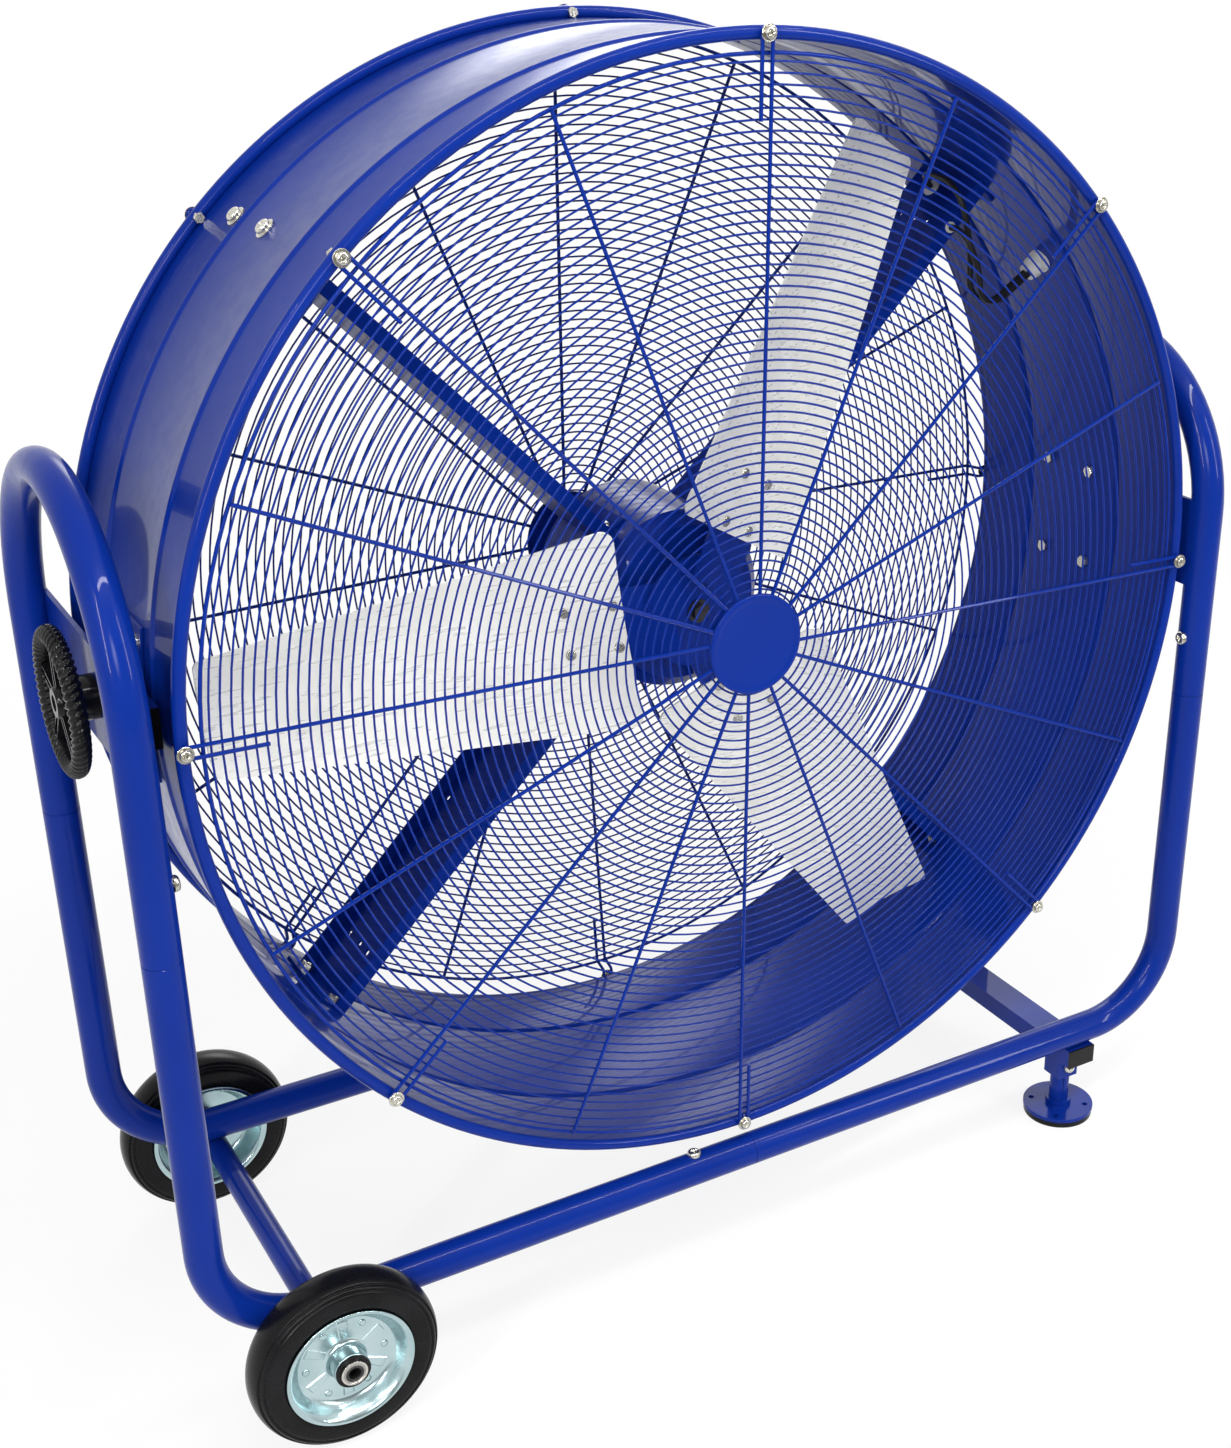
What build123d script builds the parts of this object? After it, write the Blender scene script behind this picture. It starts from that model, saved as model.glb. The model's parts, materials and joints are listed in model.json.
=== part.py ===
from build123d import *
import os
from math import asin, cos, degrees, hypot, radians, sin, sqrt, tan

# Drum fan on a wheeled tube frame. Millimetres, +Z up, the floor at Z = 0.
# The air blows out towards -Y, and the tilt axis runs along X through the frame's mid plane.

# ---------------------------------------------------------------- driving sizes
# Tube frame
tube_diameter = 38.0
tube_wall = 2.0
leg_spacing = 1258.0            # between the centre lines of the left and right legs
loop_radius = 186.0             # centre line of the inverted-U loops, half the front-to-back spacing
loop_centre_height = 800.0
rail_bend_radius = 110.0
leg_joint_height = 575.0        # where the upper loop slips over the sleeve
sleeve_reach = 100.0            # each way from a joint
sleeve_wall = 2.0
sleeve_clearance = 0.1
joint_screw_offset = 74.0       # from the joint to its screw
joint_screw_diameter = 8.0

# Wheels and axle
wheel_diameter = 200.0
tyre_width = 46.0
rim_diameter = 133.0
wheel_offset = 232.0            # wheel centre from the frame's mid plane
axle_x = -515.0
axle_tube_diameter = 28.0
spindle_diameter = 20.0
spindle_wall = 3.5
hub_tube_diameter = 38.0
hub_tube_wall = 2.5
hub_end = 33.0                  # end of the spindle from the wheel centre
hub_inner_end = 22.0            # inboard end of the hub from the wheel centre
bush_lip = 3.0
bush_setback = 3.0              # the bush stops short of the spindle's end
retainer_radius = 14.0
rim_sheet = 2.0
wheel_rivet_count = 6
wheel_rivet_circle = 42.0       # radius of the circle of rivets

# Levelling feet and the cross-member that carries them
foot_x = 492.0
foot_y = 166.0
cross_member_width = 40.0
cross_member_height = 25.0
cross_member_wall = 2.0
cross_member_half_length = 201.0
end_cap_thickness = 3.0
foot_sleeve_width = 30.0
foot_sleeve_bottom = 58.0
foot_stem_diameter = 25.0
foot_stem_wall = 2.5
foot_flange_diameter = 91.0
foot_flange_thickness = 5.0
foot_pad_diameter = 89.0
foot_pad_thickness = 8.0
foot_hole_circle = 70.0
foot_hole_diameter = 6.5
foot_hole_count = 4

# Drum, measured from its own centre
drum_height = 762.0             # its centre above the floor
drum_forward = 5.0              # its centre in front of the tilt axis
shell_outer_radius = 581.2
shell_wall = 1.5
bead_radius = 6.6               # rolled edge at each mouth
bead_flats = 12
bead_spacing = 352.6            # between the two rolled edges
swage_height = 3.0
swage_half_width = 5.0
swage_offset = 80.0             # stiffening swages either side of the middle

# Tilt pivot
pivot_height = 767.0
pivot_plate_gap = 17.0          # from the drum's rolled edge to the frame's pivot plate
pivot_plate_thickness = 5.0
pivot_plate_height = 104.0
pivot_stud_diameter = 16.0
pivot_clearance = 0.08
saddle_half_width = 55.0
saddle_half_height = 78.0
saddle_thickness = 3.0
saddle_bolt_y = 38.0
saddle_bolt_z = 58.0
rail_block_height = 40.0
rail_block_half_length = 107.0
rail_block_clearance = 8.0      # from the block to the frame's pivot plate
rail_block_wall = 3.0
friction_disc_radius = 32.0

# Handwheel on the left end of the pivot
handwheel_plane = 646.0
handwheel_ring_radius = 65.0
handwheel_grip_radius = 9.3
handwheel_grip_flats = 16
handwheel_hub_radius = 17.0
handwheel_spoke_count = 5
handwheel_spoke_radius = 5.0
boss_radius = 22.0
lock_nut_height = 13.0
lock_nut_width = 24.0

# Guards
ring_pitch = 10.1
ring_wire = 2.2
ring_flats = 6
spoke_wire = 4.0
wire_gap = 0.05                 # weld-thin gap between crossing wires
edge_ring_radius = 569.0
first_ring_radius = 562.0
hairpin_count = 8
hairpin_gap = 11.0              # between the two legs of a hairpin
hairpin_short_end = 510.0       # where the short leg stops
guard_turn = -1.0               # degrees, the front pattern seen from the front
rear_guard_turn = 0.8
cap_radius = 54.0
cap_thickness = 3.0
rear_dish_start = 18.0          # how far the rear guard stands off the drum's rear edge
rear_dish_depth = 30.0
guard_screw_diameter = 6.0

# Motor and its arms
motor_radius = 100.0
motor_wall = 4.0
motor_front = -24.0
motor_rear = 110.0
motor_cover_depth = 16.0
stator_inner_radius = 60.0
air_gap = 0.6
shaft_diameter = 24.0
bearing_outer_radius = 26.0
bearing_width = 15.0
bearing_clearance = 0.05
arm_depth = 112.0
arm_flange = 16.0
arm_sheet = 3.0
arm_web_side = 4.0              # the web's anticlockwise face from the radial plane
arm_tab_length = 34.0
arm_bolt_clear = 10.0           # from the web to the bolt rows
arm_bolt_edge = 14.0
arm_bolt_diameter = 8.0
arm_web_holes = ((515.0, 87.0), (515.0, 57.5), (515.0, 35.0), (329.0, 97.0))    # as (radius, along the axis)
arm_web_hole_radius = 3.5
seat_gap = 0.2                  # paint-thick gap between a curved tab and what it seats on

# Rotor
blade_tip_radius = 533.5
blade_root_x = 88.0
blade_tip_x = 530.0
blade_sheet = 2.5
blade_camber = 9.0
# leading and trailing edges as (across, along the axis) at the root and at the tip
root_leading = (-99.0, -46.0)
root_trailing = (100.0, -113.0)
tip_leading = (-31.0, -28.0)
tip_trailing = (78.0, -62.0)
root_corner_radius = 14.0
tip_corner_radius = 8.0
blade_count = 3
first_blade_angle = 60.0
spider_sheet = 4.0
spider_arm_half_width = 36.0
spider_arm_end = 172.0
hub_disc_radius = 62.0
hub_disc_thickness = 6.0
hub_front = -70.0
hub_boss_radius = 30.0
hub_back = -45.0
hub_end_wall = 4.0
rivet_diameter = 6.0
rivet_stations = (99.0, 153.0)
rivet_spread = 21.0
hub_bolt_diameter = 10.0

# Cable glands and the two leads in the drum
lead_diameter = 7.0
gland_radius = 14.0
wall_gland_angle = 33.8
wall_gland_y = -25.0
arm_gland_radius = 556.0
arm_gland_y = 66.0
edge_bush_radius = 517.0        # where the second lead leaves through the arm's front flange
lead_run = (52.0, 44.0)         # where the two leads lie along the arm
lead_clips = (190.0, 310.0, 430.0)

# ---------------------------------------------------------------- sizes that follow
tube_radius = tube_diameter / 2
leg_x = leg_spacing / 2
wheel_radius = wheel_diameter / 2
axle_tube_radius = axle_tube_diameter / 2
rail_height = wheel_radius + axle_tube_radius + tube_radius
rail_underside = rail_height - tube_radius
shell_inner_radius = shell_outer_radius - shell_wall
bead_centre_radius = shell_inner_radius + bead_radius
bead_y = bead_spacing / 2
drum_face = bead_y + bead_radius
rim_radius = bead_centre_radius + bead_radius
plate_inner_x = rim_radius + pivot_plate_gap
plate_outer_x = plate_inner_x + pivot_plate_thickness
block_outer_x = plate_inner_x - rail_block_clearance
saddle_radius = shell_outer_radius + saddle_thickness
handwheel_reach = handwheel_plane + handwheel_grip_radius
frame_reach = leg_x + tube_radius
centring_shift = (handwheel_reach - frame_reach) / 2
spindle_end = wheel_offset + hub_end
arm_bolt_rows = (arm_bolt_edge, arm_depth - arm_bolt_edge)
guard_hole_radius = guard_screw_diameter / 2 + 0.1
arm_bolt_z = arm_web_side - arm_sheet - arm_bolt_clear
motor_lead_z = arm_web_side - arm_sheet - 0.3 - lead_diameter / 2

DRUM = Pos(0, -drum_forward, drum_height)
PIVOT = Pos(0, 0, pivot_height)
os.makedirs("parts", exist_ok=True)


# ---------------------------------------------------------------- small helpers
def save(name, shape):
    """Writes one node, moved so that X = 0 is the middle of the whole fan."""
    export_step(Pos(centring_shift, 0, 0) * shape, "parts/" + name + ".step")


def rod(start, direction, radius, length):
    """A round bar from a point along a direction."""
    upright = Cylinder(radius, length, align=(Align.CENTER, Align.CENTER, Align.MIN))
    return Plane(origin=start, z_dir=direction) * upright


def pipe(start, direction, radius, bore, length):
    return rod(start, direction, radius, length) - rod(start, direction, bore, length)


def block(x_range, y_range, z_range):
    """A box from its lowest to its highest corner."""
    size = [high - low for low, high in (x_range, y_range, z_range)]
    middle = [(high + low) / 2 for low, high in (x_range, y_range, z_range)]
    return Pos(*middle) * Box(*size)


def about_y(outline):
    """Revolves (radius, y) points round the fan's axis."""
    return revolve(make_face(Polyline(*outline, close=True)), Axis.Y)


def wire_ring(radius, y, wire):
    """A ring of wire with flats, two of them square to the fan's axis."""
    return revolve(Pos(radius, y) * RegularPolygon(wire / 2, ring_flats, major_radius=False), Axis.Y)


def turned(shape, angle):
    """Turns a shape round the fan's axis, anticlockwise seen from the front."""
    return Rot(0, -angle, 0) * shape


def hexagon(start, direction, across_flats, height):
    face = RegularPolygon(across_flats / 2, 6, major_radius=False)
    return Plane(origin=start, z_dir=direction) * extrude(face, height)


def pan_screw(seat, outward, diameter, shank, washer=True):
    """A pan-head screw: its head stands outward from the seat and its shank goes the other way."""
    way = Vector(*outward)
    seat = Vector(*seat)
    washer_height = 0.25 * diameter if washer else 0.0
    head = rod(seat + way * washer_height, way, diameter, 0.7 * diameter)
    crown = head.edges().filter_by(GeomType.CIRCLE).sort_by(lambda edge: edge.center().dot(way))[-1:]
    head = fillet(crown, 0.5 * diameter)
    body = head + rod(seat - way * shank, way, diameter / 2, shank + washer_height)
    solids = [body]
    if washer:
        solids.append(pipe(seat, way, 1.35 * diameter, diameter / 2, washer_height))
    return solids


def nut(start, direction, diameter):
    return hexagon(start, direction, 1.65 * diameter, 0.8 * diameter) - rod(start, direction, diameter / 2, diameter)


def spread(parts, count, first_angle=0.0):
    """Copies of a list of solids, evenly spaced round the fan's axis."""
    return [turned(part, first_angle + 360 * k / count) for k in range(count) for part in parts]


def group(parts):
    return Compound(children=[solid for part in parts for solid in Part(part.wrapped).solids()])


# ---------------------------------------------------------------- tube frame
def swept_tube(path, outer_radius, wall):
    start = path @ 0
    plane = Plane(origin=start, z_dir=path % 0)
    outer = sweep(plane * Circle(outer_radius), path=path)
    inner = sweep(plane * Circle(outer_radius - wall), path=path)
    return outer - inner


def loop_path(side):
    """The inverted U over one pair of legs."""
    low, high = leg_joint_height, loop_centre_height
    x = side * leg_x
    front_leg = Line((x, -loop_radius, low), (x, -loop_radius, high))
    top = ThreePointArc((x, -loop_radius, high), (x, 0, high + loop_radius), (x, loop_radius, high))
    rear_leg = Line((x, loop_radius, high), (x, loop_radius, low))
    return front_leg + top + rear_leg


def corner_path(side, depth):
    """Leg stub, bend and half of a bottom rail."""
    x, y = side * leg_x, depth * loop_radius
    corner = (x, y, rail_height)
    return FilletPolyline((x, y, leg_joint_height), corner, (0, y, rail_height), radius=rail_bend_radius)


def joint_screw_holes():
    """One screw at each leg joint, on the leg's inner side, and one on top of each rail."""
    height = leg_joint_height + joint_screw_offset
    spots = []
    for side in (-1, 1):
        for depth in (-1, 1):
            spots.append(((side * (leg_x - tube_radius), depth * loop_radius, height), (-side, 0, 0)))
    for depth in (-1, 1):
        spots.append(((-joint_screw_offset, depth * loop_radius, rail_height + tube_radius), (0, 0, 1)))
    return spots


screw_reach = tube_wall + sleeve_clearance + sleeve_wall
joint_holes = [rod(Vector(*seat) - Vector(*way) * (screw_reach + 1), way,
                   joint_screw_diameter / 2, screw_reach + 2) for seat, way in joint_screw_holes()]


def cut_holes(shape, holes):
    return shape - list(holes)


loops = {side: swept_tube(loop_path(side), tube_radius, tube_wall) for side in (-1, 1)}
corners = {(side, depth): swept_tube(corner_path(side, depth), tube_radius, tube_wall)
           for side in (-1, 1) for depth in (-1, 1)}
names = {-1: "left", 1: "right"}
depths = {-1: "front", 1: "rear"}
for side in (-1, 1):
    save("upper_loop_" + names[side], cut_holes(loops[side], joint_holes))
    for depth in (-1, 1):
        save("base_tube_" + depths[depth] + "_" + names[side], cut_holes(corners[side, depth], joint_holes))

sleeve_radius = tube_radius - tube_wall - sleeve_clearance
leg_sleeves = [pipe((side * leg_x, depth * loop_radius, leg_joint_height - sleeve_reach), (0, 0, 1),
                    sleeve_radius, sleeve_radius - sleeve_wall, 2 * sleeve_reach)
               for side in (-1, 1) for depth in (-1, 1)]
rail_sleeves = [pipe((-sleeve_reach, depth * loop_radius, rail_height), (1, 0, 0),
                     sleeve_radius, sleeve_radius - sleeve_wall, 2 * sleeve_reach) for depth in (-1, 1)]
save("joint_sleeves", group([cut_holes(sleeve, joint_holes) for sleeve in leg_sleeves + rail_sleeves]))

# Each screw's head bears on the crown of its tube, and its shank goes on through the sleeve.
frame_screws = []
for seat, way in joint_screw_holes():
    frame_screws += pan_screw(seat, way, joint_screw_diameter, screw_reach, washer=False)
save("frame_joint_screws", group(frame_screws))

# ---------------------------------------------------------------- pivot plates on the frame
loop_lines = {side: loop_path(side) for side in (-1, 1)}
solid_loop_tube = {side: sweep(Plane(origin=line @ 0, z_dir=line % 0) * Circle(tube_radius), path=line)
                   for side, line in loop_lines.items()}
pivot_hole_radius = pivot_stud_diameter / 2 + pivot_clearance
for side in (-1, 1):
    x_range = sorted((side * plate_inner_x, side * plate_outer_x))
    plate = block(x_range, (-loop_radius, loop_radius),
                  (pivot_height - pivot_plate_height / 2, pivot_height + pivot_plate_height / 2))
    plate = plate - solid_loop_tube[side] - rod((x_range[0] - 1, 0, pivot_height), (1, 0, 0),
                                                pivot_hole_radius, pivot_plate_thickness + 2)
    plate = sorted(plate.solids(), key=lambda piece: piece.volume)[-1]
    save("pivot_plate_" + names[side], plate)

# ---------------------------------------------------------------- axle and wheels
axle_y = loop_radius + tube_radius - 1
save("axle_tube", pipe((axle_x, -axle_y, wheel_radius), (0, 1, 0), axle_tube_radius,
                       spindle_diameter / 2 + 0.05, 2 * axle_y))
spindle = [pipe((axle_x, -spindle_end, wheel_radius), (0, 1, 0), spindle_diameter / 2,
                spindle_diameter / 2 - spindle_wall, 2 * spindle_end)]
bush_end = hub_end - bush_setback
for depth in (-1, 1):
    ring_start = depth * (wheel_offset + bush_end + 0.2)
    spindle.append(pipe((axle_x, ring_start, wheel_radius), (0, depth, 0), retainer_radius, spindle_diameter / 2,
                        spindle_end - abs(ring_start)))
    spacer_start = depth * (axle_y + 0.1)
    spacer_length = wheel_offset - hub_inner_end - 0.2 - abs(spacer_start)
    spindle.append(pipe((axle_x, spacer_start, wheel_radius), (0, depth, 0), retainer_radius, spindle_diameter / 2,
                        spacer_length))
save("axle_spindle", group(spindle))

rim_radius_wheel = rim_diameter / 2
hub_tube_radius = hub_tube_diameter / 2
bush_outer = hub_tube_radius - hub_tube_wall
bush_bore = spindle_diameter / 2 + 0.08


def place_wheel(shape, depth):
    """Wheel shapes are made with their outboard side towards -Y, at the origin."""
    flipped = shape if depth < 0 else Rot(0, 0, 180) * shape
    return Pos(axle_x, depth * wheel_offset, wheel_radius) * flipped


def tyre_outline():
    half = tyre_width / 2
    shoulder = wheel_radius - 9
    return [(rim_radius_wheel, -half + 4), (rim_radius_wheel + 4, -half), (shoulder - 6, -half), (shoulder, -half + 2.5),
            (wheel_radius - 2.5, -half + 10), (wheel_radius, -half + 18), (wheel_radius, half - 18),
            (wheel_radius - 2.5, half - 10), (shoulder, half - 2.5), (shoulder - 6, half),
            (rim_radius_wheel + 4, half), (rim_radius_wheel, half - 4)]


def rim_half_outline():
    """Outboard pressed disc: centre web, dish and flared lip that grips the tyre."""
    web = -6.0
    lip = -tyre_width / 2 - 2.5
    t = rim_sheet
    seat = rim_radius_wheel - 0.3
    return [(hub_tube_radius + 0.1, web), (seat - 16, web), (seat - 8, lip + 8), (seat - 3, lip), (seat + 1.5, lip),
            (seat + 1.5, lip + t), (seat, lip + t + 1.0), (seat, 0), (seat - t, 0), (seat - t, lip + 13),
            (seat - 13, web + t), (hub_tube_radius + 0.1, web + t)]


def inner_rim_half_outline():
    web = -3.9
    lip = tyre_width / 2 + 2.5
    t = rim_sheet
    seat = rim_radius_wheel - 0.3
    return [(hub_tube_radius + 0.1, web), (hub_tube_radius + 0.1, web + t), (seat - 13, web + t), (seat - 8, lip - 6),
            (seat - 3, lip), (seat + 1.5, lip), (seat + 1.5, lip - t), (seat, lip - t - 1.0), (seat, 0.2),
            (seat - t, 0.2), (seat - t, lip - 12), (seat - 15, web)]


for depth in (-1, 1):
    prefix = depths[depth] + "_wheel_"
    rivet_holes = [turned(rod((wheel_rivet_circle, -12, 0), (0, 1, 0), 2.5, 20), 360 * k / wheel_rivet_count)
                   for k in range(wheel_rivet_count)]
    outer_half = cut_holes(about_y(rim_half_outline()), rivet_holes)
    inner_half = cut_holes(about_y(inner_rim_half_outline()), rivet_holes)
    tube_start = -bush_end + bush_lip
    hub_tube = pipe((0, tube_start, 0), (0, 1, 0), hub_tube_radius, bush_outer, hub_inner_end - tube_start)
    bush = pipe((0, -bush_end, 0), (0, 1, 0), bush_outer - 0.05, bush_bore, bush_end + hub_inner_end)
    bush = bush + pipe((0, -bush_end, 0), (0, 1, 0), hub_tube_radius - 0.5, bush_bore, bush_lip - 0.05)
    rivet = rod((wheel_rivet_circle, -7.5, 0), (0, 1, 0), 4.0, 1.5) \
        + rod((wheel_rivet_circle, -6, 0), (0, 1, 0), 2.45, 4.1) \
        + rod((wheel_rivet_circle, -1.9, 0), (0, 1, 0), 4.0, 1.5)
    save(prefix + "tyre", place_wheel(about_y(tyre_outline()), depth))
    rim_parts = [outer_half, inner_half, hub_tube] + spread([rivet], wheel_rivet_count)
    save(prefix + "rim", place_wheel(group(rim_parts), depth))
    save(prefix + "bush", place_wheel(bush, depth))

# ---------------------------------------------------------------- cross-member and feet
cross_top = rail_underside
cross_bottom = cross_top - cross_member_height
half_width = cross_member_width / 2
outer_box = block((foot_x - half_width, foot_x + half_width), (-cross_member_half_length, cross_member_half_length),
                  (cross_bottom, cross_top))
inner_box = block((foot_x - half_width + cross_member_wall, foot_x + half_width - cross_member_wall),
                  (-cross_member_half_length, cross_member_half_length),
                  (cross_bottom + cross_member_wall, cross_top - cross_member_wall))
sleeves, pads, caps = [], [], []
for depth in (-1, 1):
    y0 = depth * cross_member_half_length
    y1 = y0 + depth * end_cap_thickness
    y2 = y0 - depth * 10
    plug = block((foot_x - half_width + cross_member_wall, foot_x + half_width - cross_member_wall), sorted((y0, y2)),
                 (cross_bottom + cross_member_wall, cross_top - cross_member_wall))
    face = block((foot_x - half_width, foot_x + half_width), sorted((y0, y1)), (cross_bottom, cross_top))
    caps.append(face + plug)
save("cross_member_caps", group(caps))

foot_base = foot_pad_thickness
stem_radius = foot_stem_diameter / 2
flange_top = foot_base + foot_flange_thickness
for depth in (-1, 1):
    y = depth * foot_y
    name = depths[depth]
    sleeve_half = foot_sleeve_width / 2
    sleeve = block((foot_x - sleeve_half, foot_x + sleeve_half), (y - sleeve_half, y + sleeve_half),
                   (foot_sleeve_bottom, cross_bottom))
    sleeve = sleeve - rod((foot_x, y, foot_sleeve_bottom), (0, 0, 1), stem_radius + 0.1,
                          cross_bottom - foot_sleeve_bottom)
    screw_z = (foot_sleeve_bottom + cross_bottom) / 2
    face_y = y + depth * sleeve_half
    screw_hole = rod((foot_x, face_y, screw_z), (0, -depth, 0), 4.0, sleeve_half)
    sleeves.append(sleeve - screw_hole)
    stem_bore = stem_radius - foot_stem_wall
    stem = pipe((foot_x, y, foot_base), (0, 0, 1), stem_radius, stem_bore, cross_bottom - foot_base - 1)
    flange = rod((foot_x, y, foot_base), (0, 0, 1), foot_flange_diameter / 2, foot_flange_thickness)
    collar = rod((foot_x, y, flange_top), (0, 0, 1), stem_radius + 4, 7)
    bolt_hole = rod((foot_hole_circle / 2, 0, -1), (0, 0, 1), foot_hole_diameter / 2, flange_top + 2)
    pattern = [Pos(foot_x, y, 0) * Rot(0, 0, 45 + 360 * k / foot_hole_count) * bolt_hole
               for k in range(foot_hole_count)]
    foot = cut_holes(flange + collar + stem, pattern) - rod((foot_x, y, foot_base), (0, 0, 1), stem_bore, 20)
    foot = foot - rod((foot_x, y + depth * stem_radius * 1.2, screw_z), (0, -depth, 0), 4.0, stem_radius)
    save("foot_" + name, foot)
    pad = rod((foot_x, y, 0), (0, 0, 1), foot_pad_diameter / 2, foot_pad_thickness)
    pads.append(cut_holes(pad, pattern))
save("cross_member", (outer_box - inner_box) + sleeves)
save("foot_pads", group(pads))
set_screws = []
for depth in (-1, 1):
    y = depth * (foot_y + foot_sleeve_width / 2)
    set_screws += pan_screw((foot_x, y, screw_z), (0, depth, 0), 8.0, 5.0, washer=False)
save("foot_set_screws", group(set_screws))

# ---------------------------------------------------------------- drum shell
def curl_points(radius):
    """The rolled edge's cross-section, from the wall round to its free end, as flats round its centre."""
    half_step = 180 / bead_flats
    corner = radius / cos(radians(half_step))
    angles = [radians(180 - half_step - 2 * half_step * k) for k in range(bead_flats - 1)]
    return [(bead_centre_radius + corner * cos(a), bead_y + corner * sin(a)) for a in angles]


def swage_points(radius, y):
    return [(radius, y - swage_half_width), (radius + swage_height, y - swage_half_width + swage_height),
            (radius + swage_height, y + swage_half_width - swage_height), (radius, y + swage_half_width)]


rear_outer, rear_inner = curl_points(bead_radius), curl_points(bead_radius - shell_wall)
front_outer, front_inner = ([(r, -y) for r, y in points] for points in (rear_outer, rear_inner))
inside_swages = swage_points(shell_inner_radius, -swage_offset) + swage_points(shell_inner_radius, swage_offset)
outside_swages = swage_points(shell_outer_radius, -swage_offset) + swage_points(shell_outer_radius, swage_offset)
shell = about_y(front_outer[::-1] + inside_swages + rear_outer + rear_inner[::-1] + outside_swages[::-1] + front_inner)

screw_hole = rod((bead_centre_radius, -drum_face - 1, 0), (0, 1, 0), guard_hole_radius, 2 * bead_radius + 2)
rear_screw_hole = rod((bead_centre_radius, drum_face + 1, 0), (0, -1, 0), guard_hole_radius, 2 * bead_radius + 2)
wall_holes = spread([screw_hole], hairpin_count, guard_turn) \
    + spread([rear_screw_hole], hairpin_count, rear_guard_turn)
arm_angles = [45.0, 135.0, 225.0, 315.0]
for angle in arm_angles:
    for y in arm_bolt_rows:
        bolt_hole = rod((shell_inner_radius - 5, y, arm_bolt_z), (1, 0, 0), arm_bolt_diameter / 2, 15)
        wall_holes.append(turned(bolt_hole, angle))
pivot_y, pivot_z = drum_forward, pivot_height - drum_height     # the tilt axis seen from the drum's centre
saddle_bolts = [(side, pivot_y + dy, pivot_z + dz) for side in (-1, 1)
                for dy in (-saddle_bolt_y, saddle_bolt_y) for dz in (-saddle_bolt_z, saddle_bolt_z)]
for side, y, z in saddle_bolts:
    angle = degrees(asin(z / shell_outer_radius))
    wall_holes.append(turned(rod((shell_inner_radius - 5, y, 0), (1, 0, 0), arm_bolt_diameter / 2, 15),
                             angle if side > 0 else 180 - angle))
gland_hole = turned(rod((shell_inner_radius - 5, wall_gland_y, 0), (1, 0, 0), 8.0, 10), wall_gland_angle)
save("drum_shell", DRUM * cut_holes(shell, wall_holes + [gland_hole]))

# ---------------------------------------------------------------- guards
def bent_spoke(points, across, corner_radius):
    """A wire through (radius, y) points, at a constant distance across from the radial line."""
    line = FilletPolyline(*[(r, y, across) for r, y in points], radius=corner_radius) if len(points) > 2 \
        else Line((points[0][0], points[0][1], across), (points[1][0], points[1][1], across))
    return sweep(Plane(origin=line @ 0, z_dir=line % 0) * Circle(spoke_wire / 2), path=line)


def hairpin_bend(y):
    """The half turn of wire round a guard screw."""
    half = hairpin_gap / 2
    arc = ThreePointArc((bead_centre_radius, y, -half), (bead_centre_radius + half, y, 0), (bead_centre_radius, y, half))
    return sweep(Plane(origin=arc @ 0, z_dir=arc % 0) * Circle(spoke_wire / 2), path=arc)


spoke_y = -drum_face - wire_gap - spoke_wire / 2
ring_y = spoke_y + spoke_wire / 2 + wire_gap + ring_wire / 2
half_gap = hairpin_gap / 2
ring_count = int((first_ring_radius - cap_radius) / ring_pitch) + 1

long_leg = bent_spoke([(bead_centre_radius, spoke_y), (cap_radius - 8, spoke_y)], -half_gap, 0)
short_leg = bent_spoke([(bead_centre_radius, spoke_y), (hairpin_short_end, spoke_y)], half_gap, 0)
hairpin = long_leg + hairpin_bend(spoke_y) + short_leg
plain_spoke = bent_spoke([(edge_ring_radius, spoke_y), (cap_radius - 8, spoke_y)], 0, 0)
front_rings = [wire_ring(edge_ring_radius, spoke_y + spoke_wire + wire_gap, spoke_wire)]
front_rings += [wire_ring(first_ring_radius - k * ring_pitch, ring_y, ring_wire) for k in range(ring_count)]
plain_turn = 180 / hairpin_count    # a plain spoke lies halfway between two hairpins
front_wires = spread([hairpin], hairpin_count, guard_turn) \
    + spread([plain_spoke], hairpin_count, guard_turn + plain_turn)
save("front_guard", DRUM * group(front_rings + front_wires))

# The rear guard is dished: its wires rise off the rim, then slope on to the cap.
rear_lay = drum_face + wire_gap + spoke_wire / 2
dish_edge = drum_face + rear_dish_start + spoke_wire / 2
dish_top = dish_edge + rear_dish_depth


def dish_y(radius):
    return dish_edge + (dish_top - dish_edge) * (edge_ring_radius - radius) / (edge_ring_radius - cap_radius)


step_out = bead_centre_radius - 10.5
step_in = edge_ring_radius + 1
rear_points = [(bead_centre_radius, rear_lay), (step_out, rear_lay), (step_in, dish_y(step_in)),
               (cap_radius - 8, dish_y(cap_radius - 8))]
rear_short = rear_points[:3] + [(hairpin_short_end, dish_y(hairpin_short_end))]
rear_hairpin = bent_spoke(rear_points, half_gap, 4.0) + hairpin_bend(rear_lay) \
    + bent_spoke(rear_short, -half_gap, 4.0)
rear_plain = bent_spoke([(edge_ring_radius, dish_y(edge_ring_radius)),
                         (cap_radius - 8, dish_y(cap_radius - 8))], 0, 0)
inward = (spoke_wire + ring_wire) / 2 + wire_gap
rear_rings = [wire_ring(edge_ring_radius, dish_y(edge_ring_radius) - spoke_wire - wire_gap, spoke_wire)]
rear_rings += [wire_ring(r, dish_y(r) - inward, ring_wire)
               for r in [first_ring_radius - k * ring_pitch for k in range(ring_count)]]
rear_wires = spread([rear_hairpin], hairpin_count, rear_guard_turn) \
    + spread([rear_plain], hairpin_count, rear_guard_turn + plain_turn)
save("rear_guard", DRUM * group(rear_rings + rear_wires))


def cap_outline(seat, way):
    """A pressed disc with a turned edge; way is -1 where it faces the front."""
    t = 1.5
    top = seat + way * cap_thickness
    return [(0, top), (cap_radius - 3, top), (cap_radius, top - way * 1.5), (cap_radius, seat), (cap_radius - t, seat),
            (cap_radius - t, top - way * 1.8), (cap_radius - 3.2, top - way * t), (0, top - way * t)]


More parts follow.
